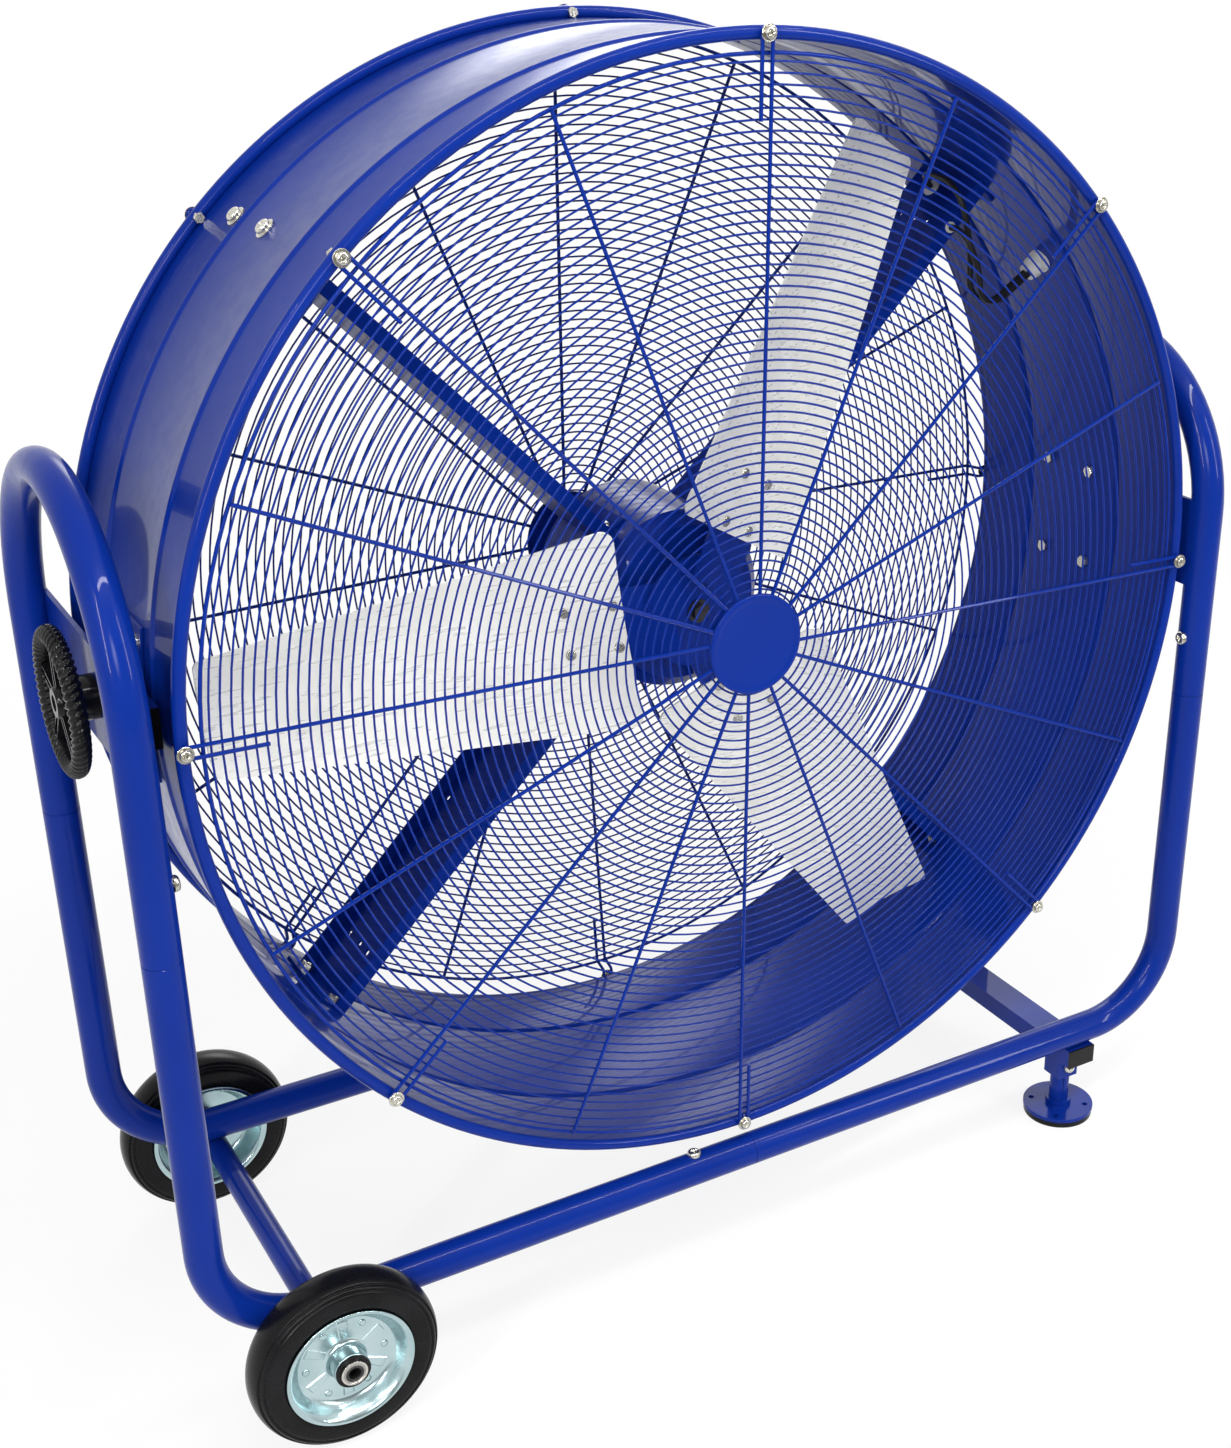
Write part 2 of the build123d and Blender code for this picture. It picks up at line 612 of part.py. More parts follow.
front_cap_seat = spoke_y - spoke_wire / 2 - wire_gap
rear_cap_seat = dish_y(cap_radius - 8) + spoke_wire / 2 + 0.1
save("guard_caps", DRUM * group([about_y(cap_outline(front_cap_seat, -1)),
                                 about_y(cap_outline(rear_cap_seat, 1))]))

screw_length = spoke_wire + 2 * bead_radius + 0.8 * guard_screw_diameter
front_screw = pan_screw((bead_centre_radius, front_cap_seat, 0), (0, -1, 0), guard_screw_diameter, screw_length)
front_nut = nut((bead_centre_radius, -bead_y + bead_radius, 0), (0, 1, 0), guard_screw_diameter)
rear_screw = pan_screw((bead_centre_radius, rear_lay + spoke_wire / 2 + wire_gap, 0), (0, 1, 0),
                       guard_screw_diameter, screw_length)
rear_nut = nut((bead_centre_radius, bead_y - bead_radius, 0), (0, -1, 0), guard_screw_diameter)
save("guard_screws", DRUM * group(spread(front_screw + [front_nut], hairpin_count, guard_turn)
                                  + spread(rear_screw + [rear_nut], hairpin_count, rear_guard_turn)))

# ---------------------------------------------------------------- motor
body = pipe((0, motor_front, 0), (0, 1, 0), motor_radius, motor_radius - motor_wall, motor_rear - motor_front)


def cover_outline(face, way):
    """An end cover with a bearing pocket; way points away from the motor's middle."""
    outer = face + way * motor_cover_depth
    lip = face - way * 6
    pocket_floor = face + way * (motor_cover_depth - 4)
    inner = pocket_floor - way * bearing_width
    clear = shaft_diameter / 2 + 1
    wall = bearing_outer_radius + 6
    return [(clear, outer), (motor_radius - 14, outer), (motor_radius, face), (motor_radius - motor_wall - 0.1, face),
            (motor_radius - motor_wall - 0.1, lip), (motor_radius - motor_wall - 5, lip),
            (motor_radius - 20, outer - way * 5), (wall, outer - way * 5), (wall, inner),
            (bearing_outer_radius, inner), (bearing_outer_radius, pocket_floor), (clear, pocket_floor)]


front_cover = about_y(cover_outline(motor_front, -1))
rear_cover = about_y(cover_outline(motor_rear, 1))
motor_bolt_holes = []
for angle in arm_angles:
    for y in arm_bolt_rows:
        bolt_hole = rod((motor_radius - 10, y, arm_bolt_z), (1, 0, 0), arm_bolt_diameter / 2, 20)
        motor_bolt_holes.append(turned(bolt_hole, angle))
lead_bores = [turned(rod((motor_radius - motor_wall - 1, y, motor_lead_z), (1, 0, 0), lead_diameter / 2 + 0.1, 10),
                     arm_angles[0]) for y in lead_run]
save("motor_body", DRUM * cut_holes(body, motor_bolt_holes + lead_bores))
save("motor_covers", DRUM * group([front_cover, rear_cover]))
front_bearing_y = motor_front - (motor_cover_depth - 4)
rear_bearing_y = motor_rear + (motor_cover_depth - 4) - bearing_width
bearings = [pipe((0, y, 0), (0, 1, 0), bearing_outer_radius - 0.02, shaft_diameter / 2 + bearing_clearance,
                 bearing_width) for y in (front_bearing_y, rear_bearing_y)]
save("motor_bearings", DRUM * group(bearings))
stator_start, stator_end = arm_bolt_rows[0] + 12, arm_bolt_rows[1] - 12
stator = pipe((0, stator_start, 0), (0, 1, 0), motor_radius - motor_wall - 0.1, stator_inner_radius,
              stator_end - stator_start)
save("motor_stator", DRUM * stator)
core = pipe((0, stator_start, 0), (0, 1, 0), stator_inner_radius - air_gap, shaft_diameter / 2, stator_end - stator_start)
save("motor_rotor_core", DRUM * core)
shaft_end = hub_front + hub_end_wall
shaft = rod((0, shaft_end, 0), (0, 1, 0), shaft_diameter / 2, motor_rear + motor_cover_depth - 5 - shaft_end)
save("motor_shaft", DRUM * (shaft - rod((0, shaft_end, 0), (0, 1, 0), hub_bolt_diameter / 2, 25)))

# ---------------------------------------------------------------- arms that carry the motor
web_z = arm_web_side
bolt_z = arm_bolt_z             # the bolt rows lie beside the web, on the open side
tab_outer = shell_inner_radius - seat_gap
tab_inner = motor_radius + seat_gap


def between(inner, outer, y_range):
    return pipe((0, y_range[0], 0), (0, 1, 0), outer, inner, y_range[1] - y_range[0])


def motor_arm():
    y_range = (0, arm_depth)
    span = (tab_inner - 20, tab_outer + 20)
    web = block(span, y_range, (web_z - arm_sheet, web_z))
    flange_z = (web_z - arm_flange, web_z)
    flanges = block(span, (0, arm_sheet), flange_z) + block(span, (arm_depth - arm_sheet, arm_depth), flange_z)
    channel = (web + flanges) & between(tab_inner, tab_outer, y_range)
    tab_space = block((0, span[1]), (arm_sheet, arm_depth - arm_sheet), (web_z - arm_tab_length, web_z))
    outer_tab = between(tab_outer - arm_sheet, tab_outer, y_range) & tab_space
    inner_tab = between(tab_inner, tab_inner + arm_sheet, y_range) & tab_space
    arm = channel + outer_tab + inner_tab
    holes = []
    for y in arm_bolt_rows:
        holes.append(rod((tab_inner - 10, y, bolt_z), (1, 0, 0), arm_bolt_diameter / 2, 20))
        holes.append(rod((tab_outer - 10, y, bolt_z), (1, 0, 0), arm_bolt_diameter / 2, 15))
    for r, y in arm_web_holes:
        holes.append(rod((r, y, web_z - 6), (0, 0, 1), arm_web_hole_radius, 10))
    return cut_holes(arm, holes)


arm = motor_arm()
lead_z = motor_lead_z
lead_hole_radius = lead_diameter / 2 + 0.1
lead_entries = [rod((tab_inner - 5, y, lead_z), (1, 0, 0), lead_hole_radius, 12) for y in lead_run]
arm_lead_holes = lead_entries + [rod((arm_gland_radius, arm_gland_y, web_z - 6), (0, 0, 1), 8.0, 10),
                                 rod((edge_bush_radius, -1, lead_z), (0, 1, 0), lead_hole_radius + 1.2, arm_sheet + 2)]
clip_screw_y = lead_run[0] + lead_diameter / 2 + 7.5
clip_holes = [rod((r, clip_screw_y, web_z - 6), (0, 0, 1), 2.1, 10) for r in lead_clips]
arm_names = ["upper_right", "upper_left", "lower_left", "lower_right"]
for name, angle in zip(arm_names, arm_angles):
    this_arm = cut_holes(arm, arm_lead_holes + clip_holes) if name == "upper_right" else arm
    save("motor_arm_" + name, DRUM * turned(this_arm, angle))

arm_bolts, motor_bolts = [], []
shell_bolt_length = shell_wall + seat_gap + arm_sheet + 0.8 * arm_bolt_diameter
for y in arm_bolt_rows:
    arm_bolts += pan_screw((shell_outer_radius + 0.1, y, bolt_z), (1, 0, 0), arm_bolt_diameter, shell_bolt_length)
    arm_bolts.append(nut((tab_outer - arm_sheet - 0.4, y, bolt_z), (-1, 0, 0), arm_bolt_diameter))
    seat = tab_inner + arm_sheet + 0.1
    motor_bolts += pan_screw((seat, y, bolt_z), (1, 0, 0), arm_bolt_diameter, arm_sheet + motor_wall - 0.5,
                             washer=False)
save("arm_bolts", DRUM * group([turned(bolt, angle) for angle in arm_angles for bolt in arm_bolts + motor_bolts]))

# ---------------------------------------------------------------- rotor
skin_margin = 12.0              # the skins run past the blade's edges, and the outline trims them


def along(root, tip, x):
    """A point on a straight blade edge at radius x."""
    share = (x - blade_root_x) / (blade_tip_x - blade_root_x)
    return root[0] + (tip[0] - root[0]) * share, root[1] + (tip[1] - root[1]) * share


def rearward(chord):
    """The chord's normal on the side away from the front: blades are hollow towards the front."""
    normal = Vector(-chord.Y, chord.X).normalized()
    return normal if normal.Y > 0 else normal * -1


def blade_section(x, front, back):
    """The blade's cambered section at radius x, between two offsets behind its front face."""
    leading = Vector(*along(root_leading, tip_leading, x))
    trailing = Vector(*along(root_trailing, tip_trailing, x))
    chord = trailing - leading
    length = chord.length
    middle = (leading + trailing) * 0.5
    normal = rearward(chord)
    camber = blade_camber
    arc_radius = (length ** 2 / 4 + camber ** 2) / (2 * camber)
    centre = middle - normal * (arc_radius - camber)
    half_angle = asin((length / 2 + skin_margin) / arc_radius)
    unit = chord.normalized()

    def at(radius, angle):
        point = centre + normal * (radius * cos(angle)) + unit * (radius * sin(angle))
        return (x, point.Y, point.X)

    outer_radius, inner_radius = arc_radius + front, arc_radius + back
    outer_arc = ThreePointArc(at(outer_radius, -half_angle), at(outer_radius, 0), at(outer_radius, half_angle))
    inner_arc = ThreePointArc(at(inner_radius, -half_angle), at(inner_radius, 0), at(inner_radius, half_angle))
    sides = [Line(at(outer_radius, -half_angle), at(inner_radius, -half_angle)),
             Line(at(outer_radius, half_angle), at(inner_radius, half_angle))]
    return make_face(outer_arc + inner_arc + sides[0] + sides[1])


def blade_skin(front, back, x_start, x_end):
    return loft([blade_section(x_start, front, back), blade_section(x_end, front, back)], ruled=True)


def outline_prism(points, corner_radii):
    """An outline in the fan's face plane, run along the axis; each corner has its own radius."""
    face = make_face(Polyline(*points, close=True))
    for (px, pz), radius in zip(points, corner_radii):
        corner = [v for v in face.vertices() if hypot(v.X - px, v.Y - pz) < 0.01]
        face = fillet(corner, radius)
    solid = extrude(face, 400)
    return Pos(0, 200, 0) * Rot(90, 0, 0) * solid


tip_margin = 40.0
root_lead, root_trail = root_leading[0], root_trailing[0]
tip_lead, tip_trail = tip_leading[0], tip_trailing[0]
blade_outline = outline_prism(
    [(blade_root_x, root_lead), (blade_tip_x, tip_lead), (blade_tip_x, tip_trail), (blade_root_x, root_trail)],
    [root_corner_radius, tip_corner_radius, tip_corner_radius, root_corner_radius])
reach = blade_tip_x + tip_margin
blade = blade_skin(0, blade_sheet, blade_root_x - 30, reach) & blade_outline
blade = blade & between(0.1, blade_tip_radius, (-200, 50))

spider_front = blade_sheet + 0.05
carrier_outline = outline_prism(
    [(30, -spider_arm_half_width), (spider_arm_end, -spider_arm_half_width),
     (spider_arm_end, spider_arm_half_width), (30, spider_arm_half_width)], [1.0, 12.0, 12.0, 1.0])
carrier = blade_skin(spider_front, spider_front + spider_sheet, 20, reach) & carrier_outline
rivet_marks = [(x, z) for x in rivet_stations for z in (-rivet_spread, rivet_spread)]


def surface_y(x, z, depth):
    """How far along the axis the blade's face lies at a radius and a distance across."""
    leading = Vector(*along(root_leading, tip_leading, x))
    trailing = Vector(*along(root_trailing, tip_trailing, x))
    chord = trailing - leading
    middle = (leading + trailing) * 0.5
    normal = rearward(chord)
    arc_radius = (chord.length ** 2 / 4 + blade_camber ** 2) / (2 * blade_camber)
    centre = middle - normal * (arc_radius - blade_camber)
    radius = arc_radius + depth
    return centre.Y + sqrt(radius ** 2 - (z - centre.X) ** 2)


def rivet_at(x, z):
    """A button-head rivet square to the sheet, through the blade and the spider arm."""
    step = 2.0
    slope_z = (surface_y(x, z + step, 0) - surface_y(x, z - step, 0)) / (2 * step)
    slope_x = (surface_y(x + step, z, 0) - surface_y(x - step, z, 0)) / (2 * step)
    outward = Vector(slope_x, -1, slope_z).normalized()
    seat = Vector(x, surface_y(x, z, 0), z) + outward * 0.1
    grip = blade_sheet + spider_sheet + 0.35
    head_height = 2.2
    head = rod(seat, outward, rivet_diameter, head_height)
    crown = head.edges().filter_by(GeomType.CIRCLE).sort_by(lambda edge: edge.center().dot(outward))[-1:]
    head = fillet(crown, 2.0)
    tail = rod(seat - outward * (grip + 2.0), outward, rivet_diameter * 0.9, 2.0)
    return head + rod(seat - outward * grip, outward, rivet_diameter / 2, grip) + tail, \
        rod(seat - outward * 30, outward, rivet_diameter / 2, 60)


rivets = [rivet_at(x, z) for x, z in rivet_marks]
rivet_holes = [hole for _, hole in rivets]
blade = cut_holes(blade, rivet_holes)
carrier = cut_holes(carrier, rivet_holes)
blade_angles = [first_blade_angle + 360 * k / blade_count for k in range(blade_count)]
for k, angle in enumerate(blade_angles):
    save("blade_" + str(k + 1), DRUM * turned(blade, angle))
save("blade_rivets", DRUM * group([turned(rivet, angle) for angle in blade_angles for rivet, _ in rivets]))

bolt_hole_radius = hub_bolt_diameter / 2 + 0.25
spider = about_y([(bolt_hole_radius, hub_front), (hub_disc_radius, hub_front),
                  (hub_disc_radius, hub_front + hub_disc_thickness), (hub_boss_radius, hub_front + hub_disc_thickness),
                  (hub_boss_radius, hub_back), (shaft_diameter / 2, hub_back), (shaft_diameter / 2, shaft_end),
                  (bolt_hole_radius, shaft_end)])
hub_core = rod((0, -200, 0), (0, 1, 0), hub_boss_radius - 4, 400)
spider = spider + [turned(carrier - hub_core, angle) for angle in blade_angles]
save("rotor_spider", DRUM * spider)
hub_bolt = hexagon((0, hub_front - 2.1, 0), (0, -1, 0), 1.7 * hub_bolt_diameter, 0.7 * hub_bolt_diameter) \
    + rod((0, hub_front - 2.1, 0), (0, 1, 0), hub_bolt_diameter / 2, 25) \
    + rod((0, hub_front - 0.1, 0), (0, -1, 0), 1.3 * hub_bolt_diameter, 2.0)
save("hub_bolt", DRUM * hub_bolt)

# ---------------------------------------------------------------- tilt pivot on the drum
def pivot_parts(side):
    """The saddle, the rail with its caps and the threaded stud, for one side."""
    arc_space = block((0, saddle_radius + 50), (pivot_y - saddle_half_width, pivot_y + saddle_half_width),
                      (pivot_z - saddle_half_height, pivot_z + saddle_half_height))
    saddle = between(shell_outer_radius + seat_gap / 2, saddle_radius, (-400, 400)) & arc_space
    rail_y = (pivot_y - rail_block_half_length, pivot_y + rail_block_half_length)
    rail_z = (pivot_z - rail_block_height / 2, pivot_z + rail_block_height / 2)
    w = rail_block_wall
    rail = block((saddle_radius - 6, block_outer_x), rail_y, rail_z)
    hollow = block((saddle_radius - 6, block_outer_x - w), rail_y, (rail_z[0] + w, rail_z[1] - w))
    rail = (rail - hollow) - rod((0, -400, 0), (0, 1, 0), saddle_radius, 800)
    cap_plugs = []
    for end, way in ((rail_y[0], -1), (rail_y[1], 1)):
        face = block((saddle_radius - 6, block_outer_x), sorted((end, end + way * end_cap_thickness)), rail_z)
        plug = block((saddle_radius - 6, block_outer_x - w - 0.1), sorted((end, end - way * 10)),
                     (rail_z[0] + w + 0.1, rail_z[1] - w - 0.1))
        cap = (face + plug) - rod((0, -400, 0), (0, 1, 0), saddle_radius + 0.2, 800)
        cap_plugs.append(cap)
    return saddle, rail, cap_plugs


saddle, rail, rail_caps = pivot_parts(1)
saddle_holes, pivot_bolts = [], []
for side, y, z in saddle_bolts:
    if side > 0:
        angle = degrees(asin(z / shell_outer_radius))
        saddle_holes.append(turned(rod((shell_inner_radius - 5, y, 0), (1, 0, 0), arm_bolt_diameter / 2, 15), angle))
        bolt = pan_screw((saddle_radius + 0.1, y, 0), (1, 0, 0), arm_bolt_diameter,
                         saddle_thickness + shell_wall + 0.8 * arm_bolt_diameter)
        bolt.append(nut((shell_inner_radius - 0.1, y, 0), (-1, 0, 0), arm_bolt_diameter))
        pivot_bolts += [turned(piece, angle) for piece in bolt]
saddle = cut_holes(saddle, saddle_holes)
stud_hole = rod((saddle_radius - 10, pivot_y, pivot_z), (1, 0, 0), pivot_stud_diameter / 2, 100)
rail = rail - stud_hole


def mirrored(shape, side):
    return shape if side > 0 else mirror(shape, Plane.YZ)


stud_head = saddle_radius + 1.0
friction_disc = pipe((block_outer_x + 0.1, 0, 0), (1, 0, 0), friction_disc_radius, pivot_hole_radius,
                     rail_block_clearance - 0.2)
left_stud_end = handwheel_plane + 4
right_stud_end = plate_outer_x + 3 + lock_nut_height + 3
stud_ends = {-1: left_stud_end, 1: right_stud_end}
pivot_bolt_nodes = []
friction_discs = []
for side in (-1, 1):
    stud = rod((stud_head, 0, 0), (1, 0, 0), pivot_stud_diameter / 2, stud_ends[side] - stud_head) \
        + hexagon((stud_head, 0, 0), (1, 0, 0), 24, block_outer_x - rail_block_wall - 0.1 - stud_head)
    save("pivot_bracket_" + names[side], DRUM * mirrored(saddle + rail, side))
    save("pivot_stud_" + names[side], PIVOT * mirrored(stud, side))
    friction_discs.append(mirrored(friction_disc, side))
    pivot_bolt_nodes += [mirrored(piece, side) for piece in pivot_bolts]
save("friction_discs", PIVOT * group(friction_discs))
save("bracket_caps", DRUM * group([mirrored(cap, side) for side in (-1, 1) for cap in rail_caps]))
save("bracket_bolts", DRUM * group(pivot_bolt_nodes))

boss_start = plate_outer_x + 0.2
boss_end = handwheel_plane - 7
clamp_boss = pipe((boss_start, 0, 0), (1, 0, 0), boss_radius, pivot_hole_radius, boss_end - 0.2 - boss_start)
save("clamp_boss", PIVOT * mirrored(clamp_boss, -1))
washer = pipe((plate_outer_x + 0.2, 0, 0), (1, 0, 0), 16, pivot_hole_radius, 2.6)
lock_nut = hexagon((plate_outer_x + 3, 0, 0), (1, 0, 0), lock_nut_width, lock_nut_height) \
    - rod((plate_outer_x, 0, 0), (1, 0, 0), pivot_stud_diameter / 2, 40)
save("lock_nut", PIVOT * group([washer, lock_nut]))

grip = RegularPolygon(handwheel_grip_radius, handwheel_grip_flats, major_radius=False,
                      rotation=180 / handwheel_grip_flats)
ring = revolve(Pos(handwheel_plane, handwheel_ring_radius) * grip, Axis.X)
hub = rod((boss_end, 0, 0), (1, 0, 0), handwheel_hub_radius,
          handwheel_plane + handwheel_grip_radius - 2 - boss_end)
spoke = rod((handwheel_plane, 0, handwheel_hub_radius - 3), (0, 0, 1), handwheel_spoke_radius,
            handwheel_ring_radius - handwheel_hub_radius + 3)
handwheel = ring + hub
for k in range(handwheel_spoke_count):
    handwheel = handwheel + Rot(360 * k / handwheel_spoke_count, 0, 0) * spoke
handwheel = handwheel - rod((boss_end, 0, 0), (1, 0, 0), pivot_hole_radius, left_stud_end + 0.2 - boss_end)
save("handwheel", PIVOT * mirrored(handwheel, -1))

# ---------------------------------------------------------------- gland, grommets, clips and leads
lead_radius = lead_diameter / 2
lead_bore = lead_radius + 0.05
lead_pitch = lead_diameter + 1.0
gland_height = 24.0
gland_hollow = 10.0             # depth inside the gland where the leads' own bores begin


def facing(shape, angle, radius, y):
    """Turns a shape made along +Y so that it points inward from the drum's wall."""
    return turned(Pos(radius, y, 0) * Rot(0, 0, 90) * shape, angle)


def gland_shape():
    """Flange, hexagon and dome inside the drum, thread and lock nut outside it."""
    through = shell_wall + 2 * seat_gap
    outline = [(0, 0), (gland_radius, 0), (gland_radius, 5), (gland_radius - 1.5, 5.5), (gland_radius - 1.5, 15),
               (gland_radius - 4, 21), (gland_radius - 4, gland_height), (0, gland_height)]
    solid = about_y(outline) + rod((0, 0.1, 0), (0, -1, 0), 7.9, through + 7)
    solid = solid + hexagon((0, -through, 0), (0, -1, 0), 24, 6)
    bores = [rod((side * lead_pitch / 2, gland_hollow, 0), (0, 1, 0), lead_bore, 60) for side in (-1, 1)]
    return solid - rod((0, gland_hollow, 0), (0, -1, 0), 6.5, 40) - bores


wall_gland = facing(gland_shape(), wall_gland_angle, shell_inner_radius - seat_gap, wall_gland_y)

grommet_profile = [(lead_bore, -4.5), (10, -4.5), (10, -1.6), (7.9, -1.6),
                   (7.9, 1.6), (10, 1.6), (10, 4.5), (lead_bore, 4.5)]
grommet = Pos(arm_gland_radius, arm_gland_y, web_z - arm_sheet / 2) * Rot(90, 0, 0) * about_y(grommet_profile)
edge_profile = [(lead_bore, -3), (6.2, -3), (6.2, -0.1), (lead_bore + 1.1, -0.1), (lead_bore + 1.1, arm_sheet + 1),
                (lead_bore, arm_sheet + 1)]
edge_bush = Pos(edge_bush_radius, 0, lead_z) * about_y(edge_profile)
arm_bushes = [turned(piece, arm_angles[0]) for piece in (grommet, edge_bush)]
save("lead_glands", DRUM * group([wall_gland] + arm_bushes))

gland_offset = wall_gland_angle - arm_angles[0]


def near_gland(radius, aside):
    """A point on a gland bore's line, in the upper right arm's own frame."""
    turn = radians(gland_offset)
    return (radius * cos(turn), wall_gland_y + aside, radius * sin(turn))


def arc_radii(points):
    """For each corner, the largest arc that takes at most 0.45 of the shorter run beside it."""
    corners = [Vector(*point) for point in points]
    radii = []
    for before, here, after in zip(corners, corners[1:], corners[2:]):
        half_turn = radians((here - before).get_angle(after - here)) / 2
        shorter = min((here - before).length, (after - here).length)
        radii.append(0.45 * shorter / tan(half_turn))
    return radii


def lead(points):
    """A round lead along straight runs joined by tangent arcs."""
    radii = arc_radii(points)
    print("lead bend radii", [round(radius, 1) for radius in radii])
    path = FilletPolyline(*points, radius=radii)
    return sweep(Plane(origin=path @ 0, z_dir=path % 0) * Circle(lead_radius), path=path)


lead_start = motor_radius - motor_wall + 0.5
gland_mouth = shell_inner_radius - seat_gap - gland_height
lead_end = gland_mouth + gland_height - gland_hollow - 0.1
first_run, second_run = lead_run
first_lead = lead([(lead_start, first_run, lead_z), (465, first_run, lead_z), (500, 59, -25),
                   (arm_gland_radius, arm_gland_y, -27), (arm_gland_radius, arm_gland_y, 34), (550, -16, 32),
                   (514, -18, -30), (478, -20, -66), near_gland(500, lead_pitch / 2),
                   near_gland(lead_end, lead_pitch / 2)])
second_lead = lead([(lead_start, second_run, lead_z), (edge_bush_radius, second_run, lead_z),
                    (edge_bush_radius, -27, lead_z), (500, -36, -42), (480, -33, -74),
                    near_gland(505, -lead_pitch / 2), near_gland(lead_end, -lead_pitch / 2)])
save("motor_leads", DRUM * group([turned(piece, arm_angles[0]) for piece in (first_lead, second_lead)]))


def lead_clip(r):
    """A strap over both leads, with one foot screwed to the arm."""
    web_face = web_z - arm_sheet - 0.05
    y_low, y_high = lead_run[1] - lead_radius - 0.1, lead_run[0] + lead_radius + 0.1
    top = lead_z - lead_radius - 0.1
    strap = block((r - 6, r + 6), (y_low - 1.5, y_high + 1.5), (top - 1.5, web_face)) \
        - block((r - 7, r + 7), (y_low, y_high), (top, web_face + 1))
    foot = block((r - 6, r + 6), (y_high, y_high + 12), (web_face - 1.5, web_face))
    return (strap + foot) - rod((r, clip_screw_y, web_face - 5), (0, 0, 1), 2.1, 10)


clips = []
for r in lead_clips:
    clips.append(lead_clip(r))
    clips += pan_screw((r, clip_screw_y, web_z - arm_sheet - 1.6), (0, 0, -1), 4.0, 4.5, washer=False)
save("lead_clips", DRUM * group([turned(piece, arm_angles[0]) for piece in clips]))
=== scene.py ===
# %% [markdown]
# # A drum fan on a wheeled tube frame
# The fan is a steel drum with a wire guard on each mouth, an electric motor held on four arms, and three
# aluminium blades. It tilts between two tube loops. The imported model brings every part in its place, so this
# lesson only dresses it: some parts keep their CAD shape and get a finish, others are made again with the
# detail that a camera sees.

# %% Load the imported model
import json
from math import asin, cos, pi, radians, sin

import bmesh
import bpy
from mathutils import Matrix, Vector

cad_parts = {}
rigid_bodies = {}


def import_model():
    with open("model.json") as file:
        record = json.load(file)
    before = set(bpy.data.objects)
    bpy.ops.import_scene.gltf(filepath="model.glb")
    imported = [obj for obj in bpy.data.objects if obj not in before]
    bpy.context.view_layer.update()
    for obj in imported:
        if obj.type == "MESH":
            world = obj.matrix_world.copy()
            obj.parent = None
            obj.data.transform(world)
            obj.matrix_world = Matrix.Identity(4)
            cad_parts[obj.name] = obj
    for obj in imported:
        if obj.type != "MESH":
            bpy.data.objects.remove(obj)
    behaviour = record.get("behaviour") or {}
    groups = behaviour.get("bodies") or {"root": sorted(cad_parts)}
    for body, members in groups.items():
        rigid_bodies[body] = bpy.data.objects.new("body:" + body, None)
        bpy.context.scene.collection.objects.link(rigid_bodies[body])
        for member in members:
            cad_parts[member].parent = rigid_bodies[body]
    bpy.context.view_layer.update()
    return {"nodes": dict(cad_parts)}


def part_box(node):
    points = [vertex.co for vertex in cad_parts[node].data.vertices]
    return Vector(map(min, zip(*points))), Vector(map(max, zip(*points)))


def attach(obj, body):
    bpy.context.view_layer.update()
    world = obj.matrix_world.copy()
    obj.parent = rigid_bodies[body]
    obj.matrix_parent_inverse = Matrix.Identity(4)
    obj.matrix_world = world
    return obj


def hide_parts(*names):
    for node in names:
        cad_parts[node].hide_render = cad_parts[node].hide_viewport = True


for leftover in list(bpy.data.objects):
    bpy.data.objects.remove(leftover)
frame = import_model()
mm = 0.001


def middle(node):
    low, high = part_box(node)
    return (low + high) / 2


# The loops stand equally far from the drum's middle, so the model's own centre lies halfway between them.
shift = (middle("upper_loop_left").x + middle("upper_loop_right").x) / 2
drum_centre = Vector((shift, *middle("drum_shell").yz))
pivot = Vector((shift, 0.0, middle("lock_nut").z))
print("parts", len(frame["nodes"]), "drum centre", [round(c, 5) for c in drum_centre])

# %% [markdown]
# ## The camera
# The photograph was taken from the front, to the left and above. Its focal length, its place and its turn
# were solved from the drum's two round mouths and the frame. The picture was cropped, so its optical axis
# isn't in the middle, and the lens shift takes that up.

# %% Camera
photo_width, photo_height = 1231, 1448
focal_px, axis_px = 1910.66, (762.71, 764.16)
azimuth, elevation, roll = radians(-32.15), radians(24.47), radians(0.50)
camera_from_drum = Vector((-0.9686, -1.7443, 0.6993))

back = Vector((sin(azimuth) * cos(elevation), -cos(azimuth) * cos(elevation), sin(elevation)))
level = back.cross(Vector((0, 0, -1))).normalized()
above = level.cross(-back)
right = level * cos(roll) + above * sin(roll)
up = above * cos(roll) - level * sin(roll)
camera_data = bpy.data.cameras.new("photo_camera")
camera_data.sensor_fit = "HORIZONTAL"
camera_data.sensor_width = 36.0
camera_data.lens = focal_px * camera_data.sensor_width / photo_width
camera_data.shift_x = (photo_width / 2 - axis_px[0]) / photo_width
camera_data.shift_y = (axis_px[1] - photo_height / 2) / photo_width
camera_data.clip_start, camera_data.clip_end = 0.05, 100.0
camera = bpy.data.objects.new("photo_camera", camera_data)
bpy.context.scene.collection.objects.link(camera)
turn = Matrix((right, up, back)).transposed().to_4x4()
camera.matrix_world = Matrix.Translation(drum_centre + camera_from_drum) @ turn
bpy.context.scene.camera = camera
print("lens, shift", [round(v, 4) for v in (camera_data.lens, camera_data.shift_x, camera_data.shift_y)])

# %% [markdown]
# ## Wiring nodes in a readable way
# Materials and Geometry Nodes trees are both node trees. A small wrapper lets a formula be written as a
# formula: adding two wires makes a Math node, and one method makes any other node. The letters before a kind
# say whose node it is: sh for a shader's, geo for a geometry's.


